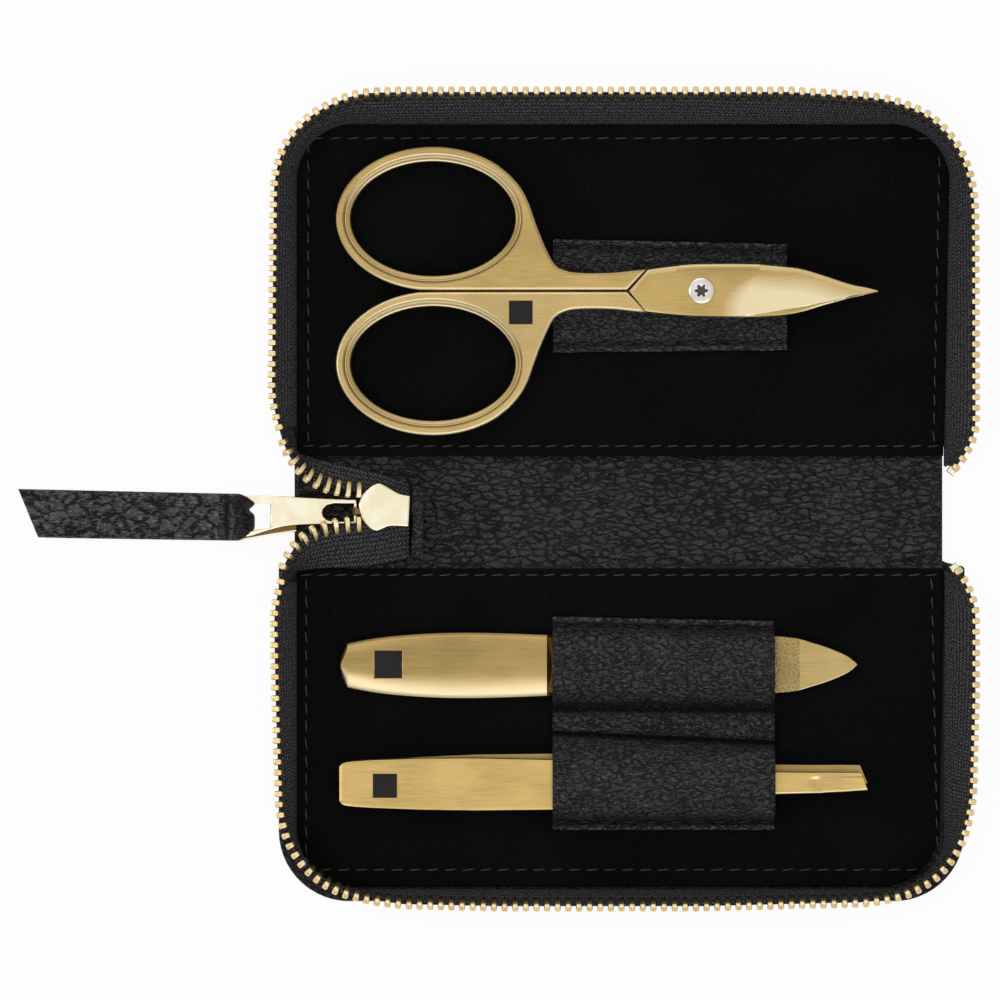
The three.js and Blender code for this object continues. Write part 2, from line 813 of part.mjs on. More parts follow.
// The shank's outline: along the crotch to the joint's apex, up its arm and back into the ring's band.
function shankShape(side) {
  const s = scissors;
  const shape = new THREE.Shape();
  const near = side * s.cutGap / 2;
  shape.moveTo(s.crotchX, near);
  shape.lineTo(s.apexX, near);
  shape.lineTo(s.armX, side * s.armY);
  shape.lineTo(s.shankX, side * s.shankHalf);
  const rimX = s.ringX + s.ringHalfX + s.ringBand;
  const neckX = s.ringX + s.ringHalfX + s.neckReach;
  shape.quadraticCurveTo(neckX, side * s.shankHalf, rimX, side * s.ringOffset);
  const midX = s.ringHalfX + s.ringBand / 2;
  const midY = s.ringHalfY + s.ringBand / 2;
  const steps = 8;
  for (let i = 0; i <= steps; i++) {
    const turn = (-side * Math.PI * i) / (2 * steps);
    const x = s.ringX + midX * Math.cos(turn);
    const y = side * s.ringOffset + midY * Math.sin(turn);
    shape.lineTo(x, y);
  }
  return shape;
}

function bladeShape(side, shift) {
  const s = scissors;
  const shape = new THREE.Shape();
  const edge = (way) => bladeShares.map(([x, y]) => {
    return new THREE.Vector2(x * s.bladeLength, way * y * s.bladeHalf + shift);
  });
  const upper = edge(side);
  const lower = edge(-side);
  const own = new THREE.Vector2(s.armX - overrun, side * s.armY);
  const other = new THREE.Vector2(s.armX + s.cutGap, -side * s.armY);
  const apex = new THREE.Vector2(s.apexX + s.cutGap, 0);
  shape.moveTo(own.x, own.y);
  shape.splineThru(upper);
  shape.lineTo(lower.at(-1).x, lower.at(-1).y);
  shape.splineThru(lower.reverse().slice(1));
  shape.lineTo(other.x, other.y);
  shape.lineTo(apex.x, apex.y);
  return shape;
}

function scissorsHalf(side) {
  const s = scissors;
  const low = side > 0 ? s.planeGap / 2 : -s.plate - s.planeGap / 2;
  const blade = prism(bladeShape(side, side > 0 ? 0 : s.rearShift), low, low + s.plate, 20);
  const shank = prism(shankShape(side), -s.handleHalf, s.handleHalf, 8);
  const hole = new THREE.CylinderGeometry(
    s.screwRadius + s.cutGap, s.screwRadius + s.cutGap, 2 * (s.plate + overrun), 20).rotateX(Math.PI / 2);
  return cutBy(joined(ringSolid(side), shank, blade), hole);
}

function starRecess(radius, depth, top) {
  const shape = new THREE.Shape();
  const points = 12;
  for (let i = 0; i < points; i++) {
    const reach = i % 2 ? radius * headShares.recess : radius;
    const turn = (2 * Math.PI * i) / points;
    const corner = [reach * Math.cos(turn), reach * Math.sin(turn)];
    if (i) shape.lineTo(...corner);
    else shape.moveTo(...corner);
  }
  return prism(shape, top - depth, top + overrun);
}

function addScissors() {
  const s = scissors;
  const loopTop = liningTop + scissorsLoop.slot + loopLeather;
  const restX = s.screwX - scissorsLoop.left;
  const farX = -s.ringX + s.ringHalfX + s.ringBand;
  const tilt = Math.atan((loopTop - liningTop) / (farX - restX));
  const rise = loopTop + seatGap + s.handleHalf + restX * Math.tan(tilt);
  const laid = new THREE.Group();
  laid.position.set(s.screwX, s.axisY, rise);
  laid.rotation.set(0, -tilt, 0);
  group.add(laid);
  add("scissors_front_half", scissorsHalf(1), "brushed", laid);
  const pocketHalf = s.inlaySize / 2 + seatGap;
  const floor = s.handleHalf - inlayThickness - seatGap;
  const pocket = block(
    [s.inlayX - pocketHalf, s.inlayY - pocketHalf, floor],
    [s.inlayX + pocketHalf, s.inlayY + pocketHalf, s.handleHalf + overrun],
  );
  add("scissors_rear_half", cutBy(scissorsHalf(-1), pocket), "brushed", laid);
  const inlay = add("scissors_inlay", inlayPlate(s.inlaySize), "enamel", laid);
  inlay.position.set(s.inlayX, s.inlayY, s.handleHalf - inlayThickness / 2);
  const faceTop = s.plate + s.planeGap / 2;
  const profile = [
    [0, -faceTop - s.headHeight / 2],
    [s.screwHead, -faceTop - s.headHeight / 2],
    [s.screwHead, -faceTop - s.planeGap],
    [s.screwRadius, -faceTop - s.planeGap],
    [s.screwRadius, faceTop + s.planeGap],
    [s.screwHead, faceTop + s.planeGap],
    [s.screwHead, faceTop + s.headHeight * headShares.wall],
    [s.screwHead * headShares.top, faceTop + s.headHeight],
    [0, faceTop + s.headHeight],
  ].map(([r, z]) => new THREE.Vector2(r, z));
  const turned = new THREE.LatheGeometry(profile, 24).rotateX(Math.PI / 2);
  const recess = starRecess(s.screwHead / 2, s.headHeight, faceTop + s.headHeight);
  add("scissors_screw", cutBy(turned, recess), "steel", laid);
}

// Nail file: x from the handle's left end, y across, laid on the base lining

const file = {
  left: -27.1,
  axisY: -28.1,
  length: 88,
  handleLength: 36.2,
  half: 5.4,
  handleThickness: 2.4,
  edgeThickness: 1.5,
  bladeHalf: 4.85,
  bladeThickness: 1.1,
  tangHalf: 2.6,
  tangLength: 8,
  inlayX: 8.2,
  inlaySize: 4.8,
};
const handleShares = [
  [0, 0.6], [0.015, 0.7], [0.085, 0.76], [0.18, 0.85], [0.27, 0.91], [0.37, 0.97], [0.5, 1], [0.65, 1],
  [0.84, 0.97], [1, 0.93],
];
const tipShares = [[0.84, 1], [0.88, 0.91], [0.91, 0.77], [0.943, 0.6], [0.974, 0.35], [0.99, 0.17], [1, 0]];

const crownShare = 0.75;

// A crowned bar: a thick middle that thins to its two edges, its width following shares of its length.
function crownedBar(length, half, shares, edge, crown) {
  const side = edge / 2;
  const shoulder = side + crown * crownShare;
  const rings = shares.map(([x, y]) => {
    const w = half * y;
    const at = (across, z) => new THREE.Vector3(x * length, across, z);
    return [
      at(-w, side), at(-w, -side), at(w, -side), at(w, side),
      at(w / 2, shoulder), at(0, side + crown), at(-w / 2, shoulder),
    ];
  });
  return loft(rings);
}

function addFile() {
  const f = file;
  const rest = liningTop + seatGap;
  const crown = f.handleThickness - f.edgeThickness;
  const middle = rest + f.edgeThickness / 2;
  const bar = crownedBar(f.handleLength, f.half, handleShares, f.edgeThickness, crown);
  const bladeMid = f.handleThickness / 2 - f.edgeThickness / 2;
  const socket = block(
    [f.handleLength - f.tangLength - seatGap, -f.tangHalf - seatGap, -f.bladeThickness / 2 - seatGap / 2],
    [f.handleLength + overrun, f.tangHalf + seatGap, f.bladeThickness / 2 + seatGap / 2],
  );
  socket.translate(0, 0, bladeMid);
  const pocketHalf = f.inlaySize / 2 + seatGap;
  const top = f.edgeThickness / 2 + crown;
  const pocket = block(
    [f.inlayX - pocketHalf, -pocketHalf, top - inlayThickness - seatGap],
    [f.inlayX + pocketHalf, pocketHalf, top + overrun],
  );
  const handle = add("file_handle", cutBy(bar, socket, pocket), "brushed");
  const inlay = add("file_inlay", inlayPlate(f.inlaySize), "enamel");
  const bladeStart = f.handleLength + seatGap;
  const shape = new THREE.Shape();
  const tangStart = f.handleLength - f.tangLength;
  const upper = tipShares.map(([x, y]) => [x * f.length, y * f.bladeHalf]);
  const lower = tipShares.slice(0, -1).reverse().map(([x, y]) => [x * f.length, -y * f.bladeHalf]);
  shape.moveTo(tangStart, -f.tangHalf);
  shape.lineTo(tangStart, f.tangHalf);
  shape.lineTo(bladeStart, f.tangHalf);
  shape.lineTo(bladeStart, f.bladeHalf);
  [...upper, ...lower].forEach(([x, y]) => shape.lineTo(x, y));
  shape.lineTo(bladeStart, -f.bladeHalf);
  shape.lineTo(bladeStart, -f.tangHalf);
  const blade = prism(shape, bladeMid - f.bladeThickness / 2, bladeMid + f.bladeThickness / 2);
  const bladeNode = add("file_blade", blade, "brushed");
  handle.position.set(f.left, f.axisY, middle);
  bladeNode.position.set(f.left, f.axisY, middle);
  inlay.position.set(f.left + f.inlayX, f.axisY, middle + top - inlayThickness / 2);
}

// Tweezers: two bowed arms that meet at the left end

const tweezers = {
  left: -27.2,
  axisY: -48.3,
  length: 89.7,
  half: 4.67,
  thickness: 1.1,
  bow: 1.6,
  slant: 1.2,
  tipShift: 0.9,
  lowerShift: 0.3,
  inlayX: 7.75,
  inlayY: -0.2,
  inlaySize: 4.1,
};
const armShares = [
  [0, 0.72, 0.37], [0.012, 0.78, 0.37], [0.06, 0.86, 0.38], [0.15, 0.94, 0.6], [0.26, 1, 0.82],
  [0.4, 1, 1], [0.52, 0.85, 1], [0.66, 0.62, 1], [0.8, 0.5, 0.98], [0.9, 0.47, 0.97], [1, 0.43, 0.97],
];

const flatShare = 0.6;
const shiftShares = [0.4, 0.8];

function tweezersArm(side) {
  const t = tweezers;
  const last = armShares.length - 1;
  const rings = armShares.map(([x, wide, apart], i) => {
    const w = t.half * wide;
    const middle = side * (t.bow * apart);
    const lowerShift = side < 0 ? t.lowerShift * apart : 0;
    const shift = t.tipShift * THREE.MathUtils.smoothstep(x, ...shiftShares) + lowerShift;
    const slant = i === last ? t.slant : 0;
    const inner = middle - side * t.thickness / 2;
    const outer = middle + side * t.thickness / 2;
    const edge = middle + side * t.thickness / 4;
    const at = (across, z) => {
      const forward = slant ? -slant * (across / w) / 2 : 0;
      return new THREE.Vector3(x * t.length + forward, across + shift, z);
    };
    const flat = w * flatShare;
    return [at(-w, inner), at(-w, edge), at(-flat, outer), at(flat, outer), at(w, edge), at(w, inner)];
  });
  return loft(rings);
}

function addTweezers() {
  const t = tweezers;
  const middle = liningTop + t.bow + t.thickness / 2 + seatGap / 2;
  const pocketHalf = t.inlaySize / 2 + seatGap;
  const shares = armShares.map(([x, , apart]) => [x * t.length, apart]);
  const after = shares.findIndex(([x]) => x > t.inlayX);
  const [x0, a0] = shares[after - 1];
  const [x1, a1] = shares[after];
  const slope = ((a1 - a0) * t.bow) / (x1 - x0);
  const top = t.bow * a0 + slope * (t.inlayX - x0) + t.thickness / 2;
  const lean = -Math.atan(slope);
  const pocket = new THREE.BoxGeometry(2 * pocketHalf, 2 * pocketHalf, 2 * (inlayThickness + seatGap));
  pocket.rotateY(lean).translate(t.inlayX, t.inlayY, top);
  const upper = add("tweezers_upper_arm", cutBy(tweezersArm(1), pocket), "brushed");
  const lower = add("tweezers_lower_arm", tweezersArm(-1), "brushed");
  const inlay = add("tweezers_inlay", inlayPlate(t.inlaySize), "enamel");
  inlay.rotation.set(0, lean, 0);
  upper.position.set(t.left, t.axisY, middle);
  lower.position.set(t.left, t.axisY, middle);
  inlay.position.set(t.left + t.inlayX, t.axisY + t.inlayY, middle + top - inlayThickness / 2);
}

for (const [name, half] of Object.entries(halves)) {
  addPanels(name, half);
  addWall(name, half);
  addTapeEnd(name, half);
}
addSpine();
addSlider();
addPull();
addStrap();
addZipEnds();
addLoops();
addScissors();
addFile();
addTweezers();

export default group;
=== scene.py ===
import json
import math

import bmesh
import bpy
import numpy as np
from mathutils import Matrix, Vector, noise


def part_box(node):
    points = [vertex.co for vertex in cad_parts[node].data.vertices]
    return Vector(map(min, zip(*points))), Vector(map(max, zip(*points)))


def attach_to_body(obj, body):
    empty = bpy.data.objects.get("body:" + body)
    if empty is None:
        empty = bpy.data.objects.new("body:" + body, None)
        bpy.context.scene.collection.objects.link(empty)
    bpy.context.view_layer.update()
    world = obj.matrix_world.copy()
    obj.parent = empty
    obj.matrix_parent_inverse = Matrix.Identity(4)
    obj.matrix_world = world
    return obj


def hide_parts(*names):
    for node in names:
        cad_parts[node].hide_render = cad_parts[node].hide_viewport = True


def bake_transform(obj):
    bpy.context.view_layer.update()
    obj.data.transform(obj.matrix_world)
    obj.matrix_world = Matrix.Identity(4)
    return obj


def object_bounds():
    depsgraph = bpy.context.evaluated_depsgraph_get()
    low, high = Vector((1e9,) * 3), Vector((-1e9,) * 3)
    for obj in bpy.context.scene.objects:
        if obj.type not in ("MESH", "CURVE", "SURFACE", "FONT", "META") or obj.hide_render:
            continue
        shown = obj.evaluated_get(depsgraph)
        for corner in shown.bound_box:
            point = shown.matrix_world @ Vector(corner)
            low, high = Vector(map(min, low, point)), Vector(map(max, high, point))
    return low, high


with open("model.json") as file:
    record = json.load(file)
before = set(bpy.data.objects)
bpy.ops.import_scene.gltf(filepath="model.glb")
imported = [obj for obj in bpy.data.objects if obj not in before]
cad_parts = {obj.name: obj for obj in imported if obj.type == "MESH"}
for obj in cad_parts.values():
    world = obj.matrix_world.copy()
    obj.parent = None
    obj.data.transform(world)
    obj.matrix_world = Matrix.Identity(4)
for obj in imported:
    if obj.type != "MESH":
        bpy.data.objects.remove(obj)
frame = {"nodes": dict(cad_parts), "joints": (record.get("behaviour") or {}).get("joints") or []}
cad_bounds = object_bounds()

bl_info = {
    "name": "Manicure set case",
    "version": (1, 0, 0),
    "blender": (4, 5, 0),
    "location": "View3D > Sidebar > Manicure case",
    "description": "Builds the leather, cloth, zip and gold tools of an open manicure case round its packed frame",
    "category": "Add Mesh",
}

# Lengths are millimetres in this file and become metres where a mesh is made.
MM = 0.001
PHOTO_SCALE = 0.17
PHOTO_MIDDLE = 499.5


def photo(px, py):
    """The place in plan, in millimetres, of a pixel of the photograph."""
    return (px - PHOTO_MIDDLE) * PHOTO_SCALE, (PHOTO_MIDDLE - py) * PHOTO_SCALE


def box_of(node):
    """A node's lowest and highest corners in millimetres."""
    low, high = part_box(node)
    return np.array(low) / MM, np.array(high) / MM


def joint_place(name):
    """Where a joint's axis passes, in millimetres."""
    joint = next(joint for joint in frame["joints"] if joint["name"] == name)
    return np.array(joint["pos_m"]) / MM


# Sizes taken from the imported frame
SPINE_LOW, SPINE_HIGH = box_of("spine_cover")
LINING_BOTTOM, LINING_TOP = (corner[2] for corner in box_of("lid_lining"))
BASE_FOLD = joint_place("spine_fold")[1]
LID_FOLD = joint_place("lid_fold")[1]
SPINE_MIDDLE = (BASE_FOLD + LID_FOLD) / 2
FOLD = {"lid": LID_FOLD, "base": BASE_FOLD}
SIDE = {"lid": 1, "base": -1}


class CaseSizes(bpy.types.PropertyGroup):
    """Sizes that a user would change."""

    stitch_pitch: bpy.props.FloatProperty(
        name="Stitch pitch", description="Distance from one stitch to the next", default=2.95 * MM, unit="LENGTH")
    stitch_length: bpy.props.FloatProperty(
        name="Stitch length", description="Length of one stitch", default=2.1 * MM, unit="LENGTH")
    stitch_width: bpy.props.FloatProperty(
        name="Thread width", description="Width of the thread", default=0.26 * MM, unit="LENGTH")
    tooth_pitch: bpy.props.FloatProperty(
        name="Tooth pitch", description="Distance from one zip tooth to the next", default=1.8 * MM, unit="LENGTH")
    grain_size: bpy.props.FloatProperty(
        name="Grain size", description="Width of one pebble of the leather", default=0.6 * MM, unit="LENGTH")
    wrinkle_depth: bpy.props.FloatProperty(
        name="Wrinkle depth", description="Height of the spine's soft wrinkles", default=0.42 * MM, unit="LENGTH")


class CaseColours(bpy.types.PropertyGroup):
    """Colours that a user would change."""

    leather: bpy.props.FloatVectorProperty(
        name="Leather", description="Colour of the leather", subtype="COLOR", default=(0.0062, 0.0062, 0.0066))
    velour: bpy.props.FloatVectorProperty(
        name="Velour", description="Colour of the lining", subtype="COLOR", default=(0.0019, 0.0019, 0.00192))
    tape: bpy.props.FloatVectorProperty(
        name="Zip tape", description="Colour of the woven tape", subtype="COLOR", default=(0.023, 0.0235, 0.027))
    thread: bpy.props.FloatVectorProperty(
        name="Thread", description="Colour of the stitches", subtype="COLOR", default=(0.036, 0.036, 0.038))
    tool_gold: bpy.props.FloatVectorProperty(
        name="Tool gold", description="Colour of the tools' satin plating", subtype="COLOR",
        default=(0.7, 0.49, 0.18))
    zip_gold: bpy.props.FloatVectorProperty(
        name="Zip gold", description="Colour of the zip's polished metal", subtype="COLOR",
        default=(1.0, 0.94, 0.74))
    enamel: bpy.props.FloatVectorProperty(
        name="Enamel", description="Colour of the small square inlays", subtype="COLOR",
        default=(0.012, 0.0107, 0.0092))


# Node building

def feed(tree, node, inputs):
    """Links or fills a node's inputs."""
    for key, value in inputs.items():
        if isinstance(value, bpy.types.NodeSocket):
            tree.links.new(value, node.inputs[key])
        else:
            node.inputs[key].default_value = value


def add_node(tree, kind, settings=None, inputs=None):
    """Adds a node, sets its properties and feeds its inputs."""
    made = tree.nodes.new(kind)
    for key, value in (settings or {}).items():
        setattr(made, key, value)
    feed(tree, made, inputs or {})
    return made


def math_node(tree, operation, first, second=0.0, third=0.0):
    """One Math node, and the socket that holds its result."""
    return add_node(
        tree, "ShaderNodeMath", {"operation": operation}, {0: first, 1: second, 2: third}).outputs[0]


def times(tree, first, second):
    """Two values multiplied."""
    return math_node(tree, "MULTIPLY", first, second)


def plus(tree, first, second):
    """Two values added."""
    return math_node(tree, "ADD", first, second)


def vector_node(tree, operation, inputs):
    """One Vector Math node, and the socket that holds its result."""
    return add_node(tree, "ShaderNodeVectorMath", {"operation": operation}, inputs).outputs[0]


def scaled(tree, vector, share):
    """A vector or colour times a number."""
    return vector_node(tree, "SCALE", {0: vector, "Scale": share})


def ramp(tree, value, low, high, to_low=0.0, to_high=1.0, kind="SMOOTHSTEP"):
    """A value mapped from one range to another."""
    return add_node(
        tree, "ShaderNodeMapRange", {"interpolation_type": kind},
        {"Value": value, "From Min": low, "From Max": high, "To Min": to_low, "To Max": to_high}).outputs[0]


def mix_colours(tree, factor, first, second):
    """Two colours mixed."""
    return add_node(tree, "ShaderNodeMix", {"data_type": "RGBA"}, {0: factor, 6: first, 7: second}).outputs[2]


def cloud(tree, place, scale, detail, roughness=0.5):
    """Soft noise, as a node."""
    return add_node(
        tree, "ShaderNodeTexNoise", None,
        {"Vector": place, "Scale": scale, "Detail": detail, "Roughness": roughness})


def stretched(tree, place, scale, turn=0.0):
    """Coordinates turned about Z and stretched."""
    return add_node(
        tree, "ShaderNodeMapping", None,
        {"Vector": place, "Rotation": (0.0, 0.0, turn), "Scale": scale}).outputs[0]


def cell_edges(tree, place, scale):
    """How far each place is from the edge of its cell."""
    return add_node(
        tree, "ShaderNodeTexVoronoi", {"feature": "DISTANCE_TO_EDGE"},
        {"Vector": place, "Scale": scale}).outputs["Distance"]


def split_vector(tree, vector):
    """The three parts of a vector."""
    return add_node(tree, "ShaderNodeSeparateXYZ", None, {"Vector": vector}).outputs


def stored(tree, label):
    """A value that a piece's mesh stores for each point."""
    return add_node(tree, "ShaderNodeAttribute", {"attribute_name": label}).outputs["Fac"]


def opaque(colour, share=1.0):
    """A colour, lighter or darker by a share, with its alpha."""
    return (*(channel * share for channel in colour), 1.0)


def new_group(name, inputs, outputs):
    """An empty shader node group: its tree, its input sockets and its output node."""
    group = bpy.data.node_groups.new(name, "ShaderNodeTree")
    for label, kind, default in inputs:
        socket = group.interface.new_socket(name=label, in_out="INPUT", socket_type="NodeSocket" + kind)
        if default is not None:
            socket.default_value = default
    for label, kind in outputs:
        group.interface.new_socket(name=label, in_out="OUTPUT", socket_type="NodeSocket" + kind)
    return group, group.nodes.new("NodeGroupInput").outputs, group.nodes.new("NodeGroupOutput")


LEATHER_WARP = (1.5 * MM, 1.5 * MM, 1.5 * MM)
# An offset between two reads of the cells, whose difference paints each pebble lighter on one side and darker on the
# other, and that painted light's strength
PAINTED_RELIEF_STEP = (0.08 * MM, 0.28 * MM, 0.0)
PAINTED_RELIEF_SHARE = 1.3
# The colour of the creases as a share of the leather's: painted shade
CREASE_SHADE_SHARE = 0.25
HATCH = {"scale": (1300.0, 3600.0, 2600.0), "turn": -0.75}


def pebble_group():
    """Grained leather: small cells between creases and a fine slanted hatch, over soft wrinkles, with painted light:
    each pebble is painted lighter on one side and darker on the other as if lit from above, the creases and the
    wrinkles' hollows get painted shade, and the pebble tops a painted highlight.
    """
    group, taken, given = new_group(
        "Grained leather",
        [("Vector", "Vector", None), ("Cell", "Float", 1.0), ("Draw", "Float", 1.0), ("Wrinkle", "Float", 0.5),
         ("Color", "Color", (0.01, 0.01, 0.01, 1.0)), ("Painted highlight", "Float", 1.8), ("Crease", "Float", 0.6)],
        [("Color", "Color"), ("Roughness", "Float"), ("Height", "Float")])
    drawn = add_node(group, "ShaderNodeCombineXYZ", None, {"X": taken["Draw"], "Y": 1.0, "Z": 1.0}).outputs[0]
    place = vector_node(group, "MULTIPLY", {0: taken["Vector"], 1: drawn})
    bend = cloud(group, place, 900.0, 2.0).outputs["Color"]
    warped = vector_node(group, "MULTIPLY_ADD", {0: bend, 1: LEATHER_WARP, 2: place})
    cells_per_metre = math_node(group, "DIVIDE", 1.0, taken["Cell"])
    edges = cell_edges(group, warped, cells_per_metre)
    # A second read of the cells a little aside: the difference is painted light on one side of each pebble
    beyond = cell_edges(group, vector_node(group, "ADD", {0: warped, 1: PAINTED_RELIEF_STEP}), cells_per_metre)
    painted_relief_light = math_node(group, "SUBTRACT", edges, beyond)
    turned = stretched(group, taken["Vector"], HATCH["scale"], HATCH["turn"])
    hatch = ramp(group, cloud(group, turned, 1.0, 2.0).outputs["Fac"], 0.38, 0.62)
    soft = cloud(group, place, 300.0, 5.0, 0.6).outputs["Fac"]
    grain = plus(
        group, times(group, ramp(group, edges, 0.0, 0.2), taken["Crease"]),
        times(group, hatch, math_node(group, "SUBTRACT", 1.0, taken["Crease"])))
    wrinkles = times(group, soft, taken["Wrinkle"])
    # Painted light and shade on the soft wrinkles
    shade = times(group, ramp(group, soft, 0.35, 0.65, -0.25, 0.25), taken["Wrinkle"])
    painted_light_share = math_node(group, "MULTIPLY_ADD", painted_relief_light, PAINTED_RELIEF_SHARE, plus(group, grain, shade))
    # The pebble tops get a painted highlight, the creases painted shade
    painted_light = scaled(group, taken["Color"], taken["Painted highlight"])
    painted_crease_shade = scaled(group, taken["Color"], CREASE_SHADE_SHARE)
    feed(group, given, {
        "Color": mix_colours(group, ramp(group, painted_light_share, 0.05, 1.15), painted_crease_shade, painted_light),
        "Roughness": ramp(group, grain, 0.2, 1.2, 0.6, 0.42),
        "Height": plus(group, grain, wrinkles)})
    return group


BRUSH_LINES = (160.0, 7600.0, 7600.0)
BRUSH_BANDS = (60.0, 2600.0, 2600.0)
BRUSH_DARK_SHARE = 0.76
# The colour of the painted highlight on faces turned towards -Y and on marked rims
PAINTED_HIGHLIGHT_COLOUR = (0.86, 0.735, 0.47, 1.0)


def brushed_group():
    """Metal brushed along X: fine lines in height and roughness, slow stains, a painted highlight on what faces -Y as
    if lit from the front, and painted light and shade where the piece's mark asks for it.
    """
    group, taken, given = new_group(
        "Brushed plating",
        [("Vector", "Vector", None), ("Color", "Color", (0.6, 0.4, 0.15, 1.0)), ("Roughness", "Float", 0.3),
         ("Painted front highlight", "Float", 1.0)],
        [("Color", "Color"), ("Roughness", "Float"), ("Height", "Float")])
    lines = cloud(group, stretched(group, taken["Vector"], BRUSH_LINES), 1.0, 4.0).outputs["Fac"]
    bands = cloud(group, stretched(group, taken["Vector"], BRUSH_BANDS), 1.0, 2.0).outputs["Fac"]
    stains = cloud(group, taken["Vector"], 90.0, 2.0).outputs["Fac"]
    both = plus(group, lines, times(group, bands, 0.3))
    facing = split_vector(group, group.nodes.new("ShaderNodeTexCoord").outputs["Normal"])["Y"]
    painted_light_mark = stored(group, "painted_light")
    # Painted highlight on faces turned towards -Y, standing in for a broad light in front
    painted_front_highlight = times(group, ramp(group, facing, -0.08, -0.42), taken["Painted front highlight"])
    shade = ramp(group, plus(group, both, stains), 0.85, 1.4)
    satin = mix_colours(group, shade, scaled(group, taken["Color"], BRUSH_DARK_SHARE), taken["Color"])
    # Where the piece's mark is below 0, the plating is painted darker, as shade
    satin = scaled(group, satin, ramp(group, painted_light_mark, -1.0, 0.0, 0.5, 1.0, "LINEAR"))
    uneven = times(group, math_node(group, "SUBTRACT", both, 0.65), 0.25)
    feed(group, given, {
        # Where the mark is above 0, or the face turns to -Y, the colour moves to the painted highlight
        "Color": mix_colours(group, math_node(group, "MAXIMUM", painted_front_highlight, painted_light_mark), satin, PAINTED_HIGHLIGHT_COLOUR),
        "Roughness": plus(group, taken["Roughness"], uneven),
        "Height": both})
    return group


def weave_group():
    """Twill tape: rows of slanted threads that lean the other way in each second row."""
    group, taken, given = new_group(
        "Twill tape",
        [("Vector", "Vector", None), ("Row", "Float", 0.85 * MM), ("Thread", "Float", 0.6 * MM)],
        [("Height", "Float"), ("Mask", "Float")])
    place = split_vector(group, taken["Vector"])
    row = math_node(group, "DIVIDE", place["Y"], taken["Row"])
    across = math_node(group, "FRACT", row)
    odd = math_node(group, "MODULO", math_node(group, "FLOOR", math_node(group, "ABSOLUTE", row)), 2.0)
    lean = math_node(group, "MULTIPLY_ADD", odd, 2.6, -1.3)
    along = math_node(group, "DIVIDE", place["X"], taken["Thread"])
    slanted = math_node(group, "MULTIPLY_ADD", across, lean, along)
    thread = math_node(group, "ABSOLUTE", math_node(group, "SINE", times(group, slanted, math.pi)))
    rib = math_node(group, "SINE", times(group, across, math.pi))
    height = times(group, thread, math_node(group, "MULTIPLY_ADD", rib, 0.6, 0.4))
    feed(group, given, {"Height": height, "Mask": ramp(group, height, 0.35, 0.8)})
    return group


def new_material(name):
    """An empty material's node tree."""
    made = bpy.data.materials.new(name)
    made.use_nodes = True
    made.node_tree.nodes.clear()
    return made.node_tree


def own_coordinates(tree):
    """The piece's own coordinates, in metres."""
    return tree.nodes.new("ShaderNodeTexCoord").outputs["Object"]


def use_group(tree, group, inputs):
    """A node group placed in a material, with its own values."""
    return add_node(tree, "ShaderNodeGroup", {"node_tree": group}, inputs).outputs


def surface(tree, inputs, height, depth, strength=1.0):
    """A material's Principled shader, with a bump of that depth, and its output."""
    bump = add_node(tree, "ShaderNodeBump", None, {"Height": height, "Distance": depth, "Strength": strength})
    shader = add_node(tree, "ShaderNodeBsdfPrincipled", None, {**inputs, "Normal": bump.outputs[0]})
    add_node(tree, "ShaderNodeOutputMaterial", None, {"Surface": shader.outputs[0]})


SHADE_AND_TONE_BASE = 8.0


def leather_material(name, group, colour, cell, draw, wrinkle, depth, painted_highlight, crease):
    """Black pebbled leather, lighter or darker by the piece's mark of painted shade and edge tone."""
    tree = new_material(name)
    values = use_group(tree, group, {
        "Vector": own_coordinates(tree), "Cell": cell, "Draw": draw, "Wrinkle": wrinkle, "Color": opaque(colour),
        "Painted highlight": painted_highlight, "Crease": crease})
    # The mark darkens the leather as painted shade in folds and hems, and makes it paler along band edges
    toned = scaled(tree, values["Color"], math_node(tree, "POWER", SHADE_AND_TONE_BASE, stored(tree, "painted_shade_and_edge_tone")))
    surface(tree, {
        "Base Color": toned, "Roughness": values["Roughness"], "Specular IOR Level": 0.26}, values["Height"], depth)


def velour_material(name, colour):
    """Near-black pile: no gloss, a faint bloom and a slight mottle."""
    tree = new_material(name)
    place = own_coordinates(tree)
    mottle = cloud(tree, place, 60.0, 2.0).outputs["Fac"]
    pile = cloud(tree, place, 4200.0, 2.0).outputs["Fac"]
    both = plus(tree, times(tree, mottle, 0.4), pile)
    surface(tree, {
        "Base Color": mix_colours(tree, ramp(tree, both, 0.55, 0.85), opaque(colour), opaque(colour, 2.2)),
        "Roughness": 1.0, "Specular IOR Level": 0.06, "Sheen Weight": 0.012, "Sheen Roughness": 0.5},
        pile, 0.12 * MM, 0.6)


def tape_material(name, group, colour):
    """Woven zip tape that reads the piece's own UV map, in metres."""
    tree = new_material(name)
    chart = add_node(tree, "ShaderNodeUVMap", {"uv_map": "UVMap"}).outputs[0]
    values = use_group(tree, group, {"Vector": chart})
    fibre = cloud(tree, chart, 2300.0, 3.0).outputs["Fac"]
    lit = times(tree, values["Mask"], ramp(tree, fibre, 0.35, 0.6, 0.05, 1.0))
    surface(tree, {
        "Base Color": mix_colours(tree, lit, opaque(colour, 0.12), opaque(colour, 5.5)),
        "Roughness": 0.8, "Specular IOR Level": 0.35},
        plus(tree, values["Height"], fibre), 0.3 * MM)


def thread_material(name, colour):
    """Twisted sewing thread."""
    tree = new_material(name)
    twist = add_node(
        tree, "ShaderNodeTexWave", {"bands_direction": "DIAGONAL"},
        {"Vector": own_coordinates(tree), "Scale": 900.0, "Distortion": 1.5, "Detail": 1.0}).outputs["Fac"]
    surface(tree, {
        "Base Color": mix_colours(tree, twist, opaque(colour, 0.6), opaque(colour)), "Roughness": 0.65},
        twist, 0.05 * MM)


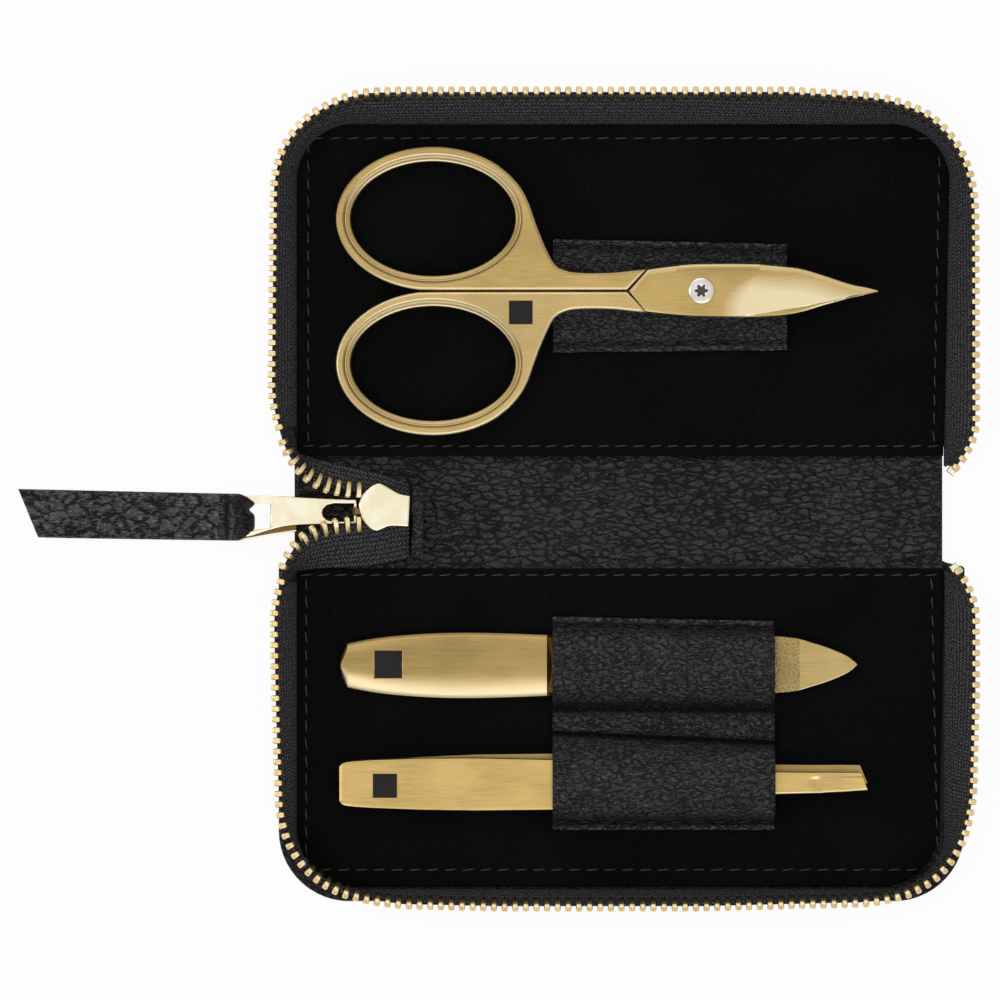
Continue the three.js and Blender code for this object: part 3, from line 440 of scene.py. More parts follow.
def brushed_material(name, group, colour, roughness):
    """Satin plating brushed along X."""
    tree = new_material(name)
    values = use_group(tree, group, {
        "Vector": own_coordinates(tree), "Color": opaque(colour), "Roughness": roughness})
    surface(tree, {
        "Base Color": values["Color"], "Roughness": values["Roughness"], "Metallic": 1.0},
        values["Height"], 0.0045 * MM)


GRIT_FADE = 0.15 * MM


def filing_material(name, group, colour, grit_end):
    """The file's blade: a rough grit up to grit_end along X, and a satin tip beyond it."""
    tree = new_material(name)
    place = own_coordinates(tree)
    values = use_group(tree, group, {"Vector": place, "Color": opaque(colour), "Roughness": 0.42})
    here = ramp(tree, split_vector(tree, place)["X"], grit_end, grit_end + GRIT_FADE, 1.0, 0.0, "LINEAR")
    grain = add_node(
        tree, "ShaderNodeTexVoronoi", {"feature": "F1"}, {"Vector": place, "Scale": 2700.0}).outputs["Distance"]
    speck = mix_colours(tree, ramp(tree, grain, 0.33, 0.63), values["Color"], opaque(colour, 0.6))
    height = times(tree, times(tree, grain, -1.0), here)
    surface(tree, {
        "Base Color": mix_colours(tree, here, values["Color"], speck),
        "Roughness": math_node(tree, "MULTIPLY_ADD", here, 0.14, values["Roughness"]), "Metallic": 1.0},
        height, 0.12 * MM)


SCRATCH = {"scale": (300.0, 9000.0, 2000.0), "turn": 0.5, "roughness": 0.05}
DEEPER_TONE = (0.92, 0.88, 0.78)


def polished_material(name, colour, roughness, foot=None):
    """Polished plating with faint scratches and a slow change of tone; foot is a painted shade colour, shown where
    the piece's mark is 0.
    """
    tree = new_material(name)
    place = own_coordinates(tree)
    tone = cloud(tree, place, 220.0, 3.0).outputs["Fac"]
    lines = cloud(tree, stretched(tree, place, SCRATCH["scale"], SCRATCH["turn"]), 1.0, 2.0).outputs["Fac"]
    deeper = opaque([channel * share for channel, share in zip(colour, DEEPER_TONE)])
    toned = mix_colours(tree, ramp(tree, tone, 0.4, 0.65), deeper, opaque(colour))
    if foot:
        # Painted shade: the colour goes to foot where the piece's mark falls
        toned = mix_colours(tree, stored(tree, "painted_head_light"), opaque(foot), toned)
    scratch = SCRATCH["roughness"]
    surface(tree, {
        "Base Color": toned, "Metallic": 1.0,
        "Roughness": math_node(tree, "MULTIPLY_ADD", lines, scratch * 2, roughness - scratch)},
        lines, 0.0015 * MM)


def clouded_material(name, scale, detail, first, second, inputs, depth):
    """A plain dull finish whose two tones drift into each other."""
    tree = new_material(name)
    drift = cloud(tree, own_coordinates(tree), scale, detail).outputs["Fac"]
    surface(tree, {"Base Color": mix_colours(tree, drift, first, second), **inputs}, drift, depth)


# Each leather's cell as a share of the grain size, draw along X, wrinkle, bump in millimetres, the pebble tops'
# painted highlight and crease
LEATHERS = {
    "Outer leather": (1.9, 0.8, 0.3, 0.3, 5.0, 0.5),
    "Spine leather": (1.9, 0.5, 0.8, 0.5, 7.0, 0.6),
    "Loop leather": (1.9, 0.8, 0.5, 0.4, 8.5, 0.35),
    "Strap leather": (3.6, 0.8, 0.5, 0.7, 20.0, 0.45),
}
# Each brushed gold's share of the tools' colour, and its roughness; the two darker ones are the tool gold painted
# darker, as painted shade
BRUSHED_GOLDS = {"Tool gold": (1.0, 0.34), "Tool gold in light painted shade": (0.88, 0.36), "Tool gold in painted shade": (0.68, 0.36)}


def make_finishes(sizes, colours):
    """Every material of the object, by name."""
    pebble, brushed, weave = pebble_group(), brushed_group(), weave_group()
    for name, (share, draw, wrinkle, depth, painted_highlight, crease) in LEATHERS.items():
        cell = sizes.grain_size * share
        leather_material(name, pebble, colours.leather, cell, draw, wrinkle, depth * MM, painted_highlight, crease)
    velour_material("Velour", colours.velour)
    tape_material("Zip tape", weave, colours.tape)
    for name, share in (("Thread", 1.0), ("Dark thread", 0.05)):
        thread_material(name, [channel * share for channel in colours.thread])
    for name, (share, roughness) in BRUSHED_GOLDS.items():
        brushed_material(name, brushed, [channel * share for channel in colours.tool_gold], roughness)
    filing_material("File gold", brushed, (0.58, 0.43, 0.175), photo(799, PHOTO_MIDDLE)[0] * MM)
    polished_material("Shade gold", (0.22, 0.13, 0.055), 0.4)
    polished_material("Zip gold", colours.zip_gold, 0.2)
    # The teeth's foot colour is painted shade and reflection of the dark case round them
    polished_material("Tooth gold", (1.0, 0.82, 0.5), 0.33, foot=(0.3, 0.19, 0.07))
    polished_material("Screw steel", (0.8, 0.8, 0.79), 0.24)
    # Dark steel that paints the screw's recess in shade
    polished_material("Steel in painted shade", (0.09, 0.09, 0.1), 0.4)
    clouded_material(
        "Enamel", 500.0, 3.0, opaque(colours.enamel), opaque(colours.enamel, 1.9),
        {"Roughness": 0.5, "Specular IOR Level": 0.15}, 0.01 * MM)
    clouded_material(
        "Board", 1400.0, 4.0, (0.004, 0.004, 0.004, 1.0), (0.007, 0.007, 0.007, 1.0), {"Roughness": 0.9}, 0.05 * MM)


def material(name):
    """One of the object's materials."""
    if name not in bpy.data.materials:
        raise RuntimeError("make the finishes first: there is no material named " + name)
    return bpy.data.materials[name]


# Mesh building

def wave(x, y, z):
    """Soft noise between -1 and 1."""
    return noise.noise(Vector((x, y, z)))


def bell(distance, width):
    """1 at no distance, and less on both sides of it."""
    return math.exp(-(distance / width) ** 2)


def show(name, data):
    """A new object at the scene's origin."""
    made = bpy.data.objects.new(name, data)
    bpy.context.scene.collection.objects.link(made)
    return made


def bake(source):
    """The plain mesh that an object's curve or modifier makes; the object is removed."""
    bpy.context.view_layer.update()
    mesh = bpy.data.meshes.new_from_object(source.evaluated_get(bpy.context.evaluated_depsgraph_get()))
    bpy.data.objects.remove(source)
    return mesh


MERGE_DISTANCE = 1e-7


def make_object(name, points, faces, finish, sharp=35.0, chart=None):
    """A closed mesh from points in millimetres, with outward normals and smooth shading."""
    mesh = bpy.data.meshes.new(name)
    mesh.from_pydata((np.asarray(points, float) * MM).tolist(), [], faces)
    if chart is not None:
        layer = mesh.uv_layers.new(name="UVMap")
        corners = np.zeros(len(mesh.loops), dtype=np.int32)
        mesh.loops.foreach_get("vertex_index", corners)
        layer.data.foreach_set("uv", (np.asarray(chart, float) * MM)[corners].ravel())
    tidy = bmesh.new()
    tidy.from_mesh(mesh)
    bmesh.ops.remove_doubles(tidy, verts=tidy.verts, dist=MERGE_DISTANCE)
    bmesh.ops.dissolve_degenerate(tidy, edges=tidy.edges, dist=MERGE_DISTANCE)
    bmesh.ops.recalc_face_normals(tidy, faces=tidy.faces)
    tidy.to_mesh(mesh)
    tidy.free()
    mesh.polygons.foreach_set("use_smooth", [True] * len(mesh.polygons))
    mesh.set_sharp_from_angle(angle=math.radians(sharp))
    mesh.materials.append(material(finish))
    return show(name, mesh)


def attach(piece, body, nodes=()):
    """The piece rides on a body and stands for CAD nodes, which it hides."""
    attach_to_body(piece, body)
    if nodes:
        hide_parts(*nodes)
    return piece


RIM_SHARES = np.array([0.0, 0.03, 0.13, 0.3, 0.55])


def spread(low, high, step, edge):
    """Places from low to high, closer together within edge of both ends."""
    count = max(1, int(round((high - low - 2 * edge) / step)))
    middle = np.linspace(low + edge, high - edge, count + 1)
    return np.concatenate([low + edge * RIM_SHARES, middle, high - edge * RIM_SHARES[::-1]])


def rounded_drop(distance, radius):
    """How far a rim of that radius has dropped at a distance inside the edge."""
    share = np.clip(1 - np.asarray(distance) / radius, 0, 1)
    return radius * (1 - np.sqrt(1 - share ** 2))


def arc_inset(distance, radius):
    """How far in an outline lies at a distance from the end of its rounded corner."""
    share = np.clip(1 - distance / radius, 0, 1) if radius > 0 else 0.0
    return radius * (1 - math.sqrt(1 - share ** 2))


SHEET_RIM_SHARE = 0.008


def sheet(name, rows, left, right, low, high, rounding, step, finish, columns=None, sharp=50.0):
    """A slab between two surfaces whose rim is rounded.

    rows are its places along Y, left(y) and right(y) its ends along X, and low(x, y) and
    high(x, y) the heights of its two surfaces.
    """
    if columns is None:
        middle = rows[len(rows) // 2]
        columns = spread(0.0, 1.0, step / (right(middle) - left(middle)), SHEET_RIM_SHARE)
    grid_x = np.array([[left(y) + (right(y) - left(y)) * c for c in columns] for y in rows])
    grid_y = np.repeat(np.array(rows)[:, None], len(columns), axis=1)
    span = np.array([right(y) - left(y) for y in rows])[:, None]
    side = np.minimum(columns, 1 - columns)[None, :] * span
    end = np.minimum(grid_y - rows[0], rows[-1] - grid_y)
    drop = rounded_drop(np.minimum(side, end), rounding)
    top = np.array([[high(x, y) for x, y in zip(*row)] for row in zip(grid_x, grid_y)]) - drop
    base = np.array([[low(x, y) for x, y in zip(*row)] for row in zip(grid_x, grid_y)]) + drop
    n, m = grid_x.shape
    points = np.concatenate([
        np.stack([grid_x, grid_y, top], axis=-1).reshape(-1, 3),
        np.stack([grid_x, grid_y, base], axis=-1).reshape(-1, 3)])

    def at(i, j, k=0):
        return k * n * m + i * m + j

    faces = []
    for i in range(n - 1):
        for j in range(m - 1):
            faces.append((at(i, j), at(i, j + 1), at(i + 1, j + 1), at(i + 1, j)))
            faces.append((at(i, j, 1), at(i + 1, j, 1), at(i + 1, j + 1, 1), at(i, j + 1, 1)))
    for i in range(n - 1):
        faces.append((at(i, 0), at(i + 1, 0), at(i + 1, 0, 1), at(i, 0, 1)))
        faces.append((at(i, m - 1), at(i, m - 1, 1), at(i + 1, m - 1, 1), at(i + 1, m - 1)))
    for j in range(m - 1):
        faces.append((at(0, j), at(0, j, 1), at(0, j + 1, 1), at(0, j + 1)))
        faces.append((at(n - 1, j), at(n - 1, j + 1), at(n - 1, j + 1, 1), at(n - 1, j, 1)))
    return make_object(name, points, faces, finish, sharp)


def loft(name, rings, finish, looped=False, sharp=35.0, chart=None):
    """A closed skin through rings of points, capped at both ends or joined into a loop."""
    count = len(rings)
    size = len(rings[0])
    points = np.asarray(rings, float).reshape(-1, 3)
    faces = []
    for i in range(count if looped else count - 1):
        here, following = i * size, ((i + 1) % count) * size
        for j in range(size):
            k = (j + 1) % size
            faces.append((here + j, here + k, following + k, following + j))
    if not looped:
        faces.append(tuple(range(size)))
        faces.append(tuple((count - 1) * size + j for j in reversed(range(size))))
    return make_object(name, points, faces, finish, sharp, chart)


def smooth_path(corners, count, closed=False):
    """Points evenly spread along a smooth curve through the corners."""
    corners = [np.asarray(corner, float) for corner in corners]
    total = len(corners)
    samples = []
    for i in range(total if closed else total - 1):
        if closed:
            a, b, c, d = (corners[(i + k) % total] for k in (-1, 0, 1, 2))
        else:
            a, b, c, d = (corners[min(max(i + k, 0), total - 1)] for k in (-1, 0, 1, 2))
        for t in np.linspace(0, 1, 16, endpoint=False):
            samples.append(0.5 * (
                2 * b + (c - a) * t + (2 * a - 5 * b + 4 * c - d) * t ** 2 + (3 * b - a - 3 * c + d) * t ** 3))
    samples.append(corners[0] if closed else corners[-1])
    samples = np.array(samples)
    run = np.concatenate([[0], np.cumsum(np.linalg.norm(np.diff(samples, axis=0), axis=1))])
    wanted = np.linspace(0, run[-1], count, endpoint=not closed)
    return np.stack([np.interp(wanted, run, samples[:, k]) for k in range(samples.shape[1])], axis=1)


def plate(name, outlines, low, high, rounding, finish, steps=3, sharp=28.0):
    """A flat plate with holes and rounded rims; the first outline is its edge."""
    curve = bpy.data.curves.new(name, "CURVE")
    curve.dimensions = "2D"
    curve.fill_mode = "BOTH"
    curve.extrude = (high - low - 2 * rounding) / 2 * MM
    curve.bevel_depth = rounding * MM
    curve.offset = -rounding * MM
    curve.bevel_resolution = steps
    for outline in outlines:
        spline = curve.splines.new("POLY")
        spline.points.add(len(outline) - 1)
        for point, place in zip(spline.points, outline):
            point.co = (place[0] * MM, place[1] * MM, 0.0, 1.0)
        spline.use_cyclic_u = True
    mesh = bake(show(name + "_curve", curve))
    mesh.transform(Matrix.Translation((0.0, 0.0, (low + high) / 2 * MM)))
    points = np.zeros(len(mesh.vertices) * 3)
    mesh.vertices.foreach_get("co", points)
    faces = [tuple(polygon.vertices) for polygon in mesh.polygons]
    bpy.data.meshes.remove(mesh)
    made = make_object(name, points.reshape(-1, 3) / MM, faces, finish, sharp)
    for polygon in made.data.polygons:
        if abs(polygon.normal.z) > 0.9999:
            polygon.use_smooth = False
    return made


def mark(piece, label, measure):
    """Stores a value for each point, measured from its place in millimetres."""
    layer = piece.data.attributes.new(label, "FLOAT", "POINT")
    layer.data.foreach_set("value", [float(measure(*(point.co / MM))) for point in piece.data.vertices])
    return piece


def join(name, pieces):
    """Several meshes as one piece that keeps their finishes and marks."""
    merged = bmesh.new()
    finishes = []
    for piece in pieces:
        for finish in piece.data.materials:
            if finish not in finishes:
                finishes.append(finish)
        places = [finishes.index(finish) for finish in piece.data.materials]
        for polygon in piece.data.polygons:
            polygon.material_index = places[polygon.material_index]
        merged.from_mesh(piece.data)
    mesh = bpy.data.meshes.new(name)
    merged.to_mesh(mesh)
    merged.free()
    for finish in finishes:
        mesh.materials.append(finish)
    for piece in pieces:
        bpy.data.objects.remove(piece)
    return show(name, mesh)


def side_normals(path):
    """Unit vectors to the right of a flat path, seen along it."""
    along = np.gradient(path, axis=0)
    normals = np.stack([along[:, 1], -along[:, 0]], axis=1)
    return normals / np.linalg.norm(normals, axis=1)[:, None]


# Rows of teeth and stitches, repeated along a path by Geometry Nodes

REPEAT = "Repeat along path"


def repeat_tree():
    """The node tree that sets one small piece along a path at an even pitch."""
    tree = bpy.data.node_groups.new(REPEAT, "GeometryNodeTree")
    for label, kind in (("Geometry", "Geometry"), ("Pitch", "Float"), ("Piece", "Object"), ("Turn", "Float"),
                        ("Jitter", "Float"), ("Seed", "Int"), ("Material", "Material")):
        tree.interface.new_socket(name=label, in_out="INPUT", socket_type="NodeSocket" + kind)
    tree.interface.new_socket(name="Geometry", in_out="OUTPUT", socket_type="NodeSocketGeometry")
    taken = tree.nodes.new("NodeGroupInput").outputs
    given = tree.nodes.new("NodeGroupOutput")
    line = add_node(tree, "GeometryNodeMeshToCurve", None, {0: taken["Geometry"]})
    spots = add_node(
        tree, "GeometryNodeCurveToPoints", {"mode": "LENGTH"},
        {"Curve": line.outputs[0], "Length": taken["Pitch"]})
    slope = add_node(
        tree, "GeometryNodeInputNamedAttribute", {"data_type": "FLOAT_VECTOR"}, {"Name": "slope"})
    first = add_node(
        tree, "FunctionNodeAlignRotationToVector", {"axis": "X"}, {"Vector": spots.outputs["Tangent"]})
    second = add_node(
        tree, "FunctionNodeAlignRotationToVector", {"axis": "Y", "pivot_axis": "X"},
        {"Rotation": first.outputs[0], "Vector": slope.outputs["Attribute"]})
    chance = add_node(
        tree, "FunctionNodeRandomValue", {"data_type": "FLOAT"},
        {2: times(tree, taken["Jitter"], -1.0), 3: taken["Jitter"], "Seed": taken["Seed"]})
    turn = plus(tree, taken["Turn"], chance.outputs[1])
    about = add_node(tree, "ShaderNodeCombineXYZ", None, {"Y": turn})
    spin = add_node(tree, "FunctionNodeEulerToRotation", None, {0: about.outputs[0]})
    turned = add_node(
        tree, "FunctionNodeRotateRotation", {"rotation_space": "LOCAL"},
        {0: second.outputs[0], 1: spin.outputs[0]})
    piece = add_node(tree, "GeometryNodeObjectInfo", None, {"Object": taken["Piece"]})
    placed = add_node(
        tree, "GeometryNodeInstanceOnPoints", None,
        {"Points": spots.outputs["Points"], "Instance": piece.outputs["Geometry"], "Rotation": turned.outputs[0]})
    real = add_node(tree, "GeometryNodeRealizeInstances", None, {0: placed.outputs[0]})
    dressed = add_node(
        tree, "GeometryNodeSetMaterial", None, {"Geometry": real.outputs[0], "Material": taken["Material"]})
    tree.links.new(dressed.outputs[0], given.inputs[0])
    return tree


def repeat_along(name, paths, slopes, pitch, piece, finish, turn=0.0, jitter=0.0, seed=1):
    """One small piece repeated along paths, as one plain mesh."""
    tree = bpy.data.node_groups.get(REPEAT) or repeat_tree()
    sockets = {item.name: item.identifier for item in tree.interface.items_tree if item.in_out == "INPUT"}
    points, edges, leans = [], [], []
    for path, slope in zip(paths, slopes):
        start = len(points)
        points.extend((np.asarray(path, float) * MM).tolist())
        leans.extend(np.asarray(slope, float).tolist())
        edges.extend((start + i, start + i + 1) for i in range(len(path) - 1))
    mesh = bpy.data.meshes.new(name + "_path")
    mesh.from_pydata(points, edges, [])
    lean = mesh.attributes.new("slope", "FLOAT_VECTOR", "POINT")
    lean.data.foreach_set("vector", np.array(leans).ravel())
    row = show(name + "_row", mesh)
    modifier = row.modifiers.new("Repeat", "NODES")
    modifier.node_group = tree
    for key, value in (("Pitch", pitch), ("Piece", piece), ("Turn", turn), ("Jitter", jitter), ("Seed", seed),
                       ("Material", material(finish))):
        modifier[sockets[key]] = value
    baked = bake(row)
    baked.name = name
    if not len(baked.polygons):
        raise RuntimeError(name + " came out empty")
    return show(name, baked)


def rounded_ring(half_x, half_z, y, corner_share=0.7):
    """Eight points of a rectangle with cut corners, across Y."""
    cx, cz = half_x * corner_share, half_z * corner_share
    return [
        (half_x, y, cz), (cx, y, half_z), (-cx, y, half_z), (-half_x, y, cz),
        (-half_x, y, -cz), (-cx, y, -half_z), (cx, y, -half_z), (half_x, y, -cz)]


# A tooth from its foot to its head: half width, half height and place along Y
TOOTH_RINGS = [
    (0.4, 0.6, -1.45), (0.48, 0.74, -1.25), (0.49, 0.74, 0.2), (0.52, 0.74, 0.8), (0.47, 0.68, 1.08),
    (0.36, 0.56, 1.24), (0.2, 0.32, 1.24), (0.12, 0.22, 1.0)]


def tooth_shape():
    """One zip tooth: X along the row, Y towards its tip, with a dimple in its head."""
    made = loft("tooth_shape", [rounded_ring(*ring) for ring in TOOTH_RINGS], "Tooth gold", sharp=50.0)
    # Painted light on the head's middle; its sides and its foot fall to the painted shade colour
    return mark(made, "painted_head_light", lambda x, y, z: (1.0 if abs(x) < 0.37 else 0.25) * np.clip((y + 1.1) / 0.7, 0, 1))


# Along a stitch: the place as a share of half its length, and the thread's share of its width there
STITCH_SHARES = [(-1.0, 0.2), (-0.86, 0.75), (-0.4, 1.0), (0.4, 1.0), (0.86, 0.75), (1.0, 0.2)]
STITCH_JITTER = 0.05


def stitch_shape(sizes, wide):
    """One stitch: a short rounded thread along X that dips at both ends."""
    half = sizes.stitch_length / MM / 2
    width = sizes.stitch_width / MM / 2 * wide
    rings = []
    for share, thick in STITCH_SHARES:
        sink = -width * 1.6 * abs(share) ** 4
        rings.append([
            (share * half, sink + thick * width * math.cos(a), thick * width * math.sin(a))
            for a in np.linspace(0, 2 * math.pi, 6, endpoint=False)])
    return loft("stitch_shape", rings, "Thread", sharp=60.0)


def stitch_rows(name, paths, sizes, body, finish="Thread", slot=None, turn=0.1, seed=3, pitch=1.0, wide=1.0):
    """Rows of stitches that ride on one body; pitch and wide are shares of the usual stitch."""
    shape = stitch_shape(sizes, wide)
    ups = [[(0.0, 0.0, 1.0)] * len(path) for path in paths]
    made = repeat_along(name, paths, ups, sizes.stitch_pitch * pitch, shape, finish, turn, STITCH_JITTER, seed)
    bpy.data.objects.remove(shape)
    return attach(made, body, ()) if body else made


# The case's leather, boards and linings

# The outer leather's edges and the radius of its corners
COVER = {
    "lid": {"left": -36.5, "right": 77.5, "far": 66.5, "radius": 14.5},
    "base": {"left": -37.6, "right": 79.2, "far": -68.4, "radius": 12.0},
}
COVER_NECK = 1.2
COVER_TOP = 1.2
# Surfaces that would share a plane stay this far apart.
SKIN_GAP = 0.02
BEND_REACH = 4


def cover_ends(half, y):
    """The outer leather's ends along X at a place along Y."""
    sizes, fold = COVER[half], FOLD[half]
    out = abs(y - fold) if (y - fold) * (sizes["far"] - fold) > 0 else 0.0
    share = min(out / COVER_NECK, 1.0)
    share = share * share * (3 - 2 * share)
    left = SPINE_LOW[0] + (sizes["left"] - SPINE_LOW[0]) * share
    right = SPINE_HIGH[0] + (sizes["right"] - SPINE_HIGH[0]) * share
    inset = arc_inset(abs(sizes["far"] - y), sizes["radius"])
    return left + inset, right - inset


def outer_leather(half):
    """Half of the outer leather, from its far edge to the middle of the spine."""
    far, radius, fold, away = COVER[half]["far"], COVER[half]["radius"], FOLD[half], SIDE[half]
    corner = [far - away * radius * (1 - math.cos(a)) for a in np.linspace(0, math.pi / 2, 14)]
    panel = np.linspace(far - away * radius, fold + away * BEND_REACH, 24)
    bend = np.linspace(fold + away * BEND_REACH, fold - away * BEND_REACH, 25)
    spine = np.linspace(fold - away * BEND_REACH, SPINE_MIDDLE, 6)
    rim = [far - away * step for step in (0.03, 0.1, 0.25, 0.5)]
    rows = sorted(set(np.round(np.concatenate([corner, rim, panel, bend, spine]), 4)))

    def top(x, y):
        return COVER_TOP - SKIN_GAP + min(0.0, 0.06 * wave(x * 0.08, y * 0.08, 3.0))

    made = sheet(
        half + "_outer_leather", rows, lambda y: cover_ends(half, y)[0], lambda y: cover_ends(half, y)[1],
        lambda x, y: 0.0, top, rounding=0.45, step=1.6, finish="Outer leather")
    return made


def blend_fold(piece, half):
    """Bakes a piece's transform into its mesh; the piece is not bent across the fold line."""
    if half == "base":
        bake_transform(piece)
    else:
        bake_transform(piece)
    return piece


def make_outer_leather():
    """Outer leather of both halves, which meets in the middle of the spine."""
    lid = blend_fold(outer_leather("lid"), "lid")
    base = blend_fold(outer_leather("base"), "base")
    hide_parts("lid_cover", "lid_hinge_leather", "spine_cover")
    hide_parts("base_cover", "base_hinge_leather")


LINING = {
    "lid": {"near": 7.4, "far": 63.8, "left": -34.4, "right": 75.5, "radius": 9.0},
    "base": {"near": -11.8, "far": -65.9, "left": -34.4, "right": 75.7, "radius": 10.0},
}
# The right edge of a lining leans out by 1 mm along this run.
LINING_LEAN_RUN = 50
# Places in the photograph that each line of stitches passes through
STITCH_LINES = {
    "lid": {"near": (PHOTO_MIDDLE, 446), "far": (PHOTO_MIDDLE, 138), "left": (308, 300), "right": (934, 300)},
    "base": {"near": (PHOTO_MIDDLE, 575), "far": (PHOTO_MIDDLE, 870), "left": (306, 700), "right": (932, 700)},
}
STITCH_FRAME_LEAN = 1.0
STITCH_CORNER = 1.6
STITCH_CUT = {"lid": STITCH_CORNER, "base": 3.4}
LINING_PADDING = 0.12
STITCH_TUCK = 0.1


def lining(half):
    """One velour panel with a soft rim."""
    sizes = LINING[half]
    low, high = sorted((sizes["near"], sizes["far"]))

    def inset(y):
        return arc_inset(abs(sizes["far"] - y), sizes["radius"])

    line = {key: photo(*value) for key, value in STITCH_LINES[half].items()}

    def height(x, y):
        across = min(abs(x - line["left"][0]), abs(x - line["right"][0]))
        beside = min(abs(y - line["near"][1]), abs(y - line["far"][1]))
        tuck = STITCH_TUCK * bell(min(across, beside), 0.5)
        swell = LINING_PADDING * wave(x * 0.05, y * 0.05, 1.7)
        return LINING_TOP - SKIN_GAP - tuck + min(0.0, swell)

    rows = spread(low, high, 1.1, 1.2)
    made = sheet(
        half + "_velour", rows, lambda y: sizes["left"] + inset(y),
        lambda y: sizes["right"] + (y - sizes["near"]) / LINING_LEAN_RUN - inset(y),
        lambda x, y: LINING_BOTTOM + SKIN_GAP, height, rounding=0.36, step=1.1, finish="Velour")
    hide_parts(half + "_lining")
    return blend_fold(made, half)


def stitch_frame(half):
    """The rectangle of stitches round a lining."""
    line = {key: photo(*value) for key, value in STITCH_LINES[half].items()}
    left, right = line["left"][0], line["right"][0]
    near, far = line["near"][1], line["far"][1]
    lift = LINING_TOP + SKIN_GAP
    cut, away = STITCH_CUT[half], SIDE[half]
    corners = [
        (left, near, lift), (right, near, lift), (right, near + away * STITCH_CORNER, lift),
        (right + STITCH_FRAME_LEAN, far - away * cut / 2, lift), (right - cut, far, lift), (left + cut, far, lift),
        (left, far - away * cut, lift), (left, near + away * STITCH_CORNER, lift)]
    rows = []
    for start, end in ((0, 1), (2, 3), (4, 5), (6, 7)):
        first, last = np.array(corners[start]), np.array(corners[end])
        rows.append([tuple(first + (last - first) * t) for t in np.linspace(0, 1, 12)])
    return rows


def dress_node(node, finish):
    """Gives a CAD node that stays its finish."""
    finishes = frame["nodes"][node].data.materials
    finishes.clear()
    finishes.append(material(finish))


def make_linings(sizes):
    """Velour panels, their stitches and the boards under them."""
    for half in ("lid", "base"):
        lining(half)
        made = stitch_rows(half + "_lining_stitches", stitch_frame(half), sizes, None, seed=5)
        blend_fold(made, half)
        dress_node(half + "_board", "Board")


SPINE_LEVEL = 2.02
SPINE_THICKNESS = 0.55
SPINE_END = 9.6


def spine_height(x, y, depth):
    """The height of the spine's wrinkled leather, which has a lip at the base lining and dips at both folds."""
    lip = 0.55 * bell(y - LINING["base"]["near"], 0.8)
    dip = -0.45 * bell(y - BASE_FOLD, 0.9) - 0.5 * bell(y - LID_FOLD, 1.6)
    long_waves = wave(x * 0.035, y * 0.42, 4.0)
    short_waves = wave(x * 0.13, y * 0.9, 9.0)
    creases = abs(wave(x * 0.1 + 0.3 * y, y * 0.6, 2.0))
    return SPINE_LEVEL + lip + dip + depth * (long_waves + 0.5 * short_waves - 0.7 * creases)


def make_spine_leather(sizes):
    """The inner leather of the spine, in two pieces that meet in its middle."""
    depth = sizes.wrinkle_depth / MM
    low = LINING["base"]["near"] + 0.12
    for half, start, end in (("base", low, SPINE_MIDDLE), ("lid", SPINE_MIDDLE, SPINE_END)):
        rows = np.linspace(start, end, int((end - start) / 0.33))

        def top(x, y):
            fade = min(1.0, (x - SPINE_LOW[0]) / 1.5, (SPINE_HIGH[0] - x) / 1.5)
            tall = spine_height(x, y, depth * max(fade, 0.0))
            return tall if half == "base" else min(tall, LINING_BOTTOM - 0.05 + max(0.0, (LINING["lid"]["near"] - y)))

        def under(x, y):
            return top(x, y) - SPINE_THICKNESS

        made = sheet(
            half + "_spine_leather", rows, lambda y: SPINE_LOW[0] + 0.1, lambda y: SPINE_HIGH[0] - 0.1,
            under, top, rounding=0.01, step=0.5, finish="Spine leather")
        if half == "base":
            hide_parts("spine_lining")
        blend_fold(made, half)


# The zip's tape and teeth

# The rim of a half is drawn in its own u, which is X, and v, which runs outwards from its fold.
CHAIN = {
    "left": -38.5, "right": 80.6, "radius_left": 17.5, "radius_right": 19.5, "height": 8.7,
    "start_v": 3.5, "start_in": 1.3, "run": 8.0, "lean": math.radians(62),
    "side_lean": math.radians(78),
}
RIM = {
    "lid": {"far": 60.15, "end_v": -3.2, "end_in": 3.4, "foot_far": 55.0, "slant": 0.9},
    "base": {"far": 58.55, "end_v": 1.9, "end_in": 3.0, "foot_far": 56.1, "slant": 0.0},
}
FOOT = {"left": -34.6, "right": 75.8, "radius": 9.8, "height": 2.0}
# How many points each of the rim's seven stretches has
RIM_STEPS = (10, 30, 30, 70, 34, 24, 10)


def bend_points(first, control, last, count):
    """Points of a quadratic curve, without its last one."""
    ts = np.linspace(0, 1, count, endpoint=False)[:, None]
    first, control, last = (np.array(p, float) for p in (first, control, last))
    return first * (1 - ts) ** 2 + 2 * control * ts * (1 - ts) + last * ts ** 2


def rim_path(left, right, far, radius_left, radius_right, start_v, start_in, end_v, end_in, run):
    """A path round three sides of a half, in its own u and v."""
    def arc(x, radius, begin, end, count):
        angles = np.linspace(begin, end, count, endpoint=False)
        return np.stack([x + radius * np.cos(angles), far - radius + radius * np.sin(angles)], axis=1)

    def line(first, last, count):
        return np.linspace(first, last, count, endpoint=False)

    n = RIM_STEPS
    return np.concatenate([
        bend_points((left + start_in, start_v), (left, start_v + run / 2), (left, start_v + run), n[0]),
        line((left, start_v + run), (left, far - radius_left), n[1]),
        arc(left + radius_left, radius_left, math.pi, math.pi / 2, n[2]),
        line((left + radius_left, far), (right - radius_right, far), n[3]),
        arc(right - radius_right, radius_right, math.pi / 2, 0.0, n[4]),
        line((right, far - radius_right), (right, end_v + run), n[5]),
        bend_points((right, end_v + run), (right, end_v + run / 2), (right - end_in, end_v), n[6]),
        [(right - end_in, end_v)]])


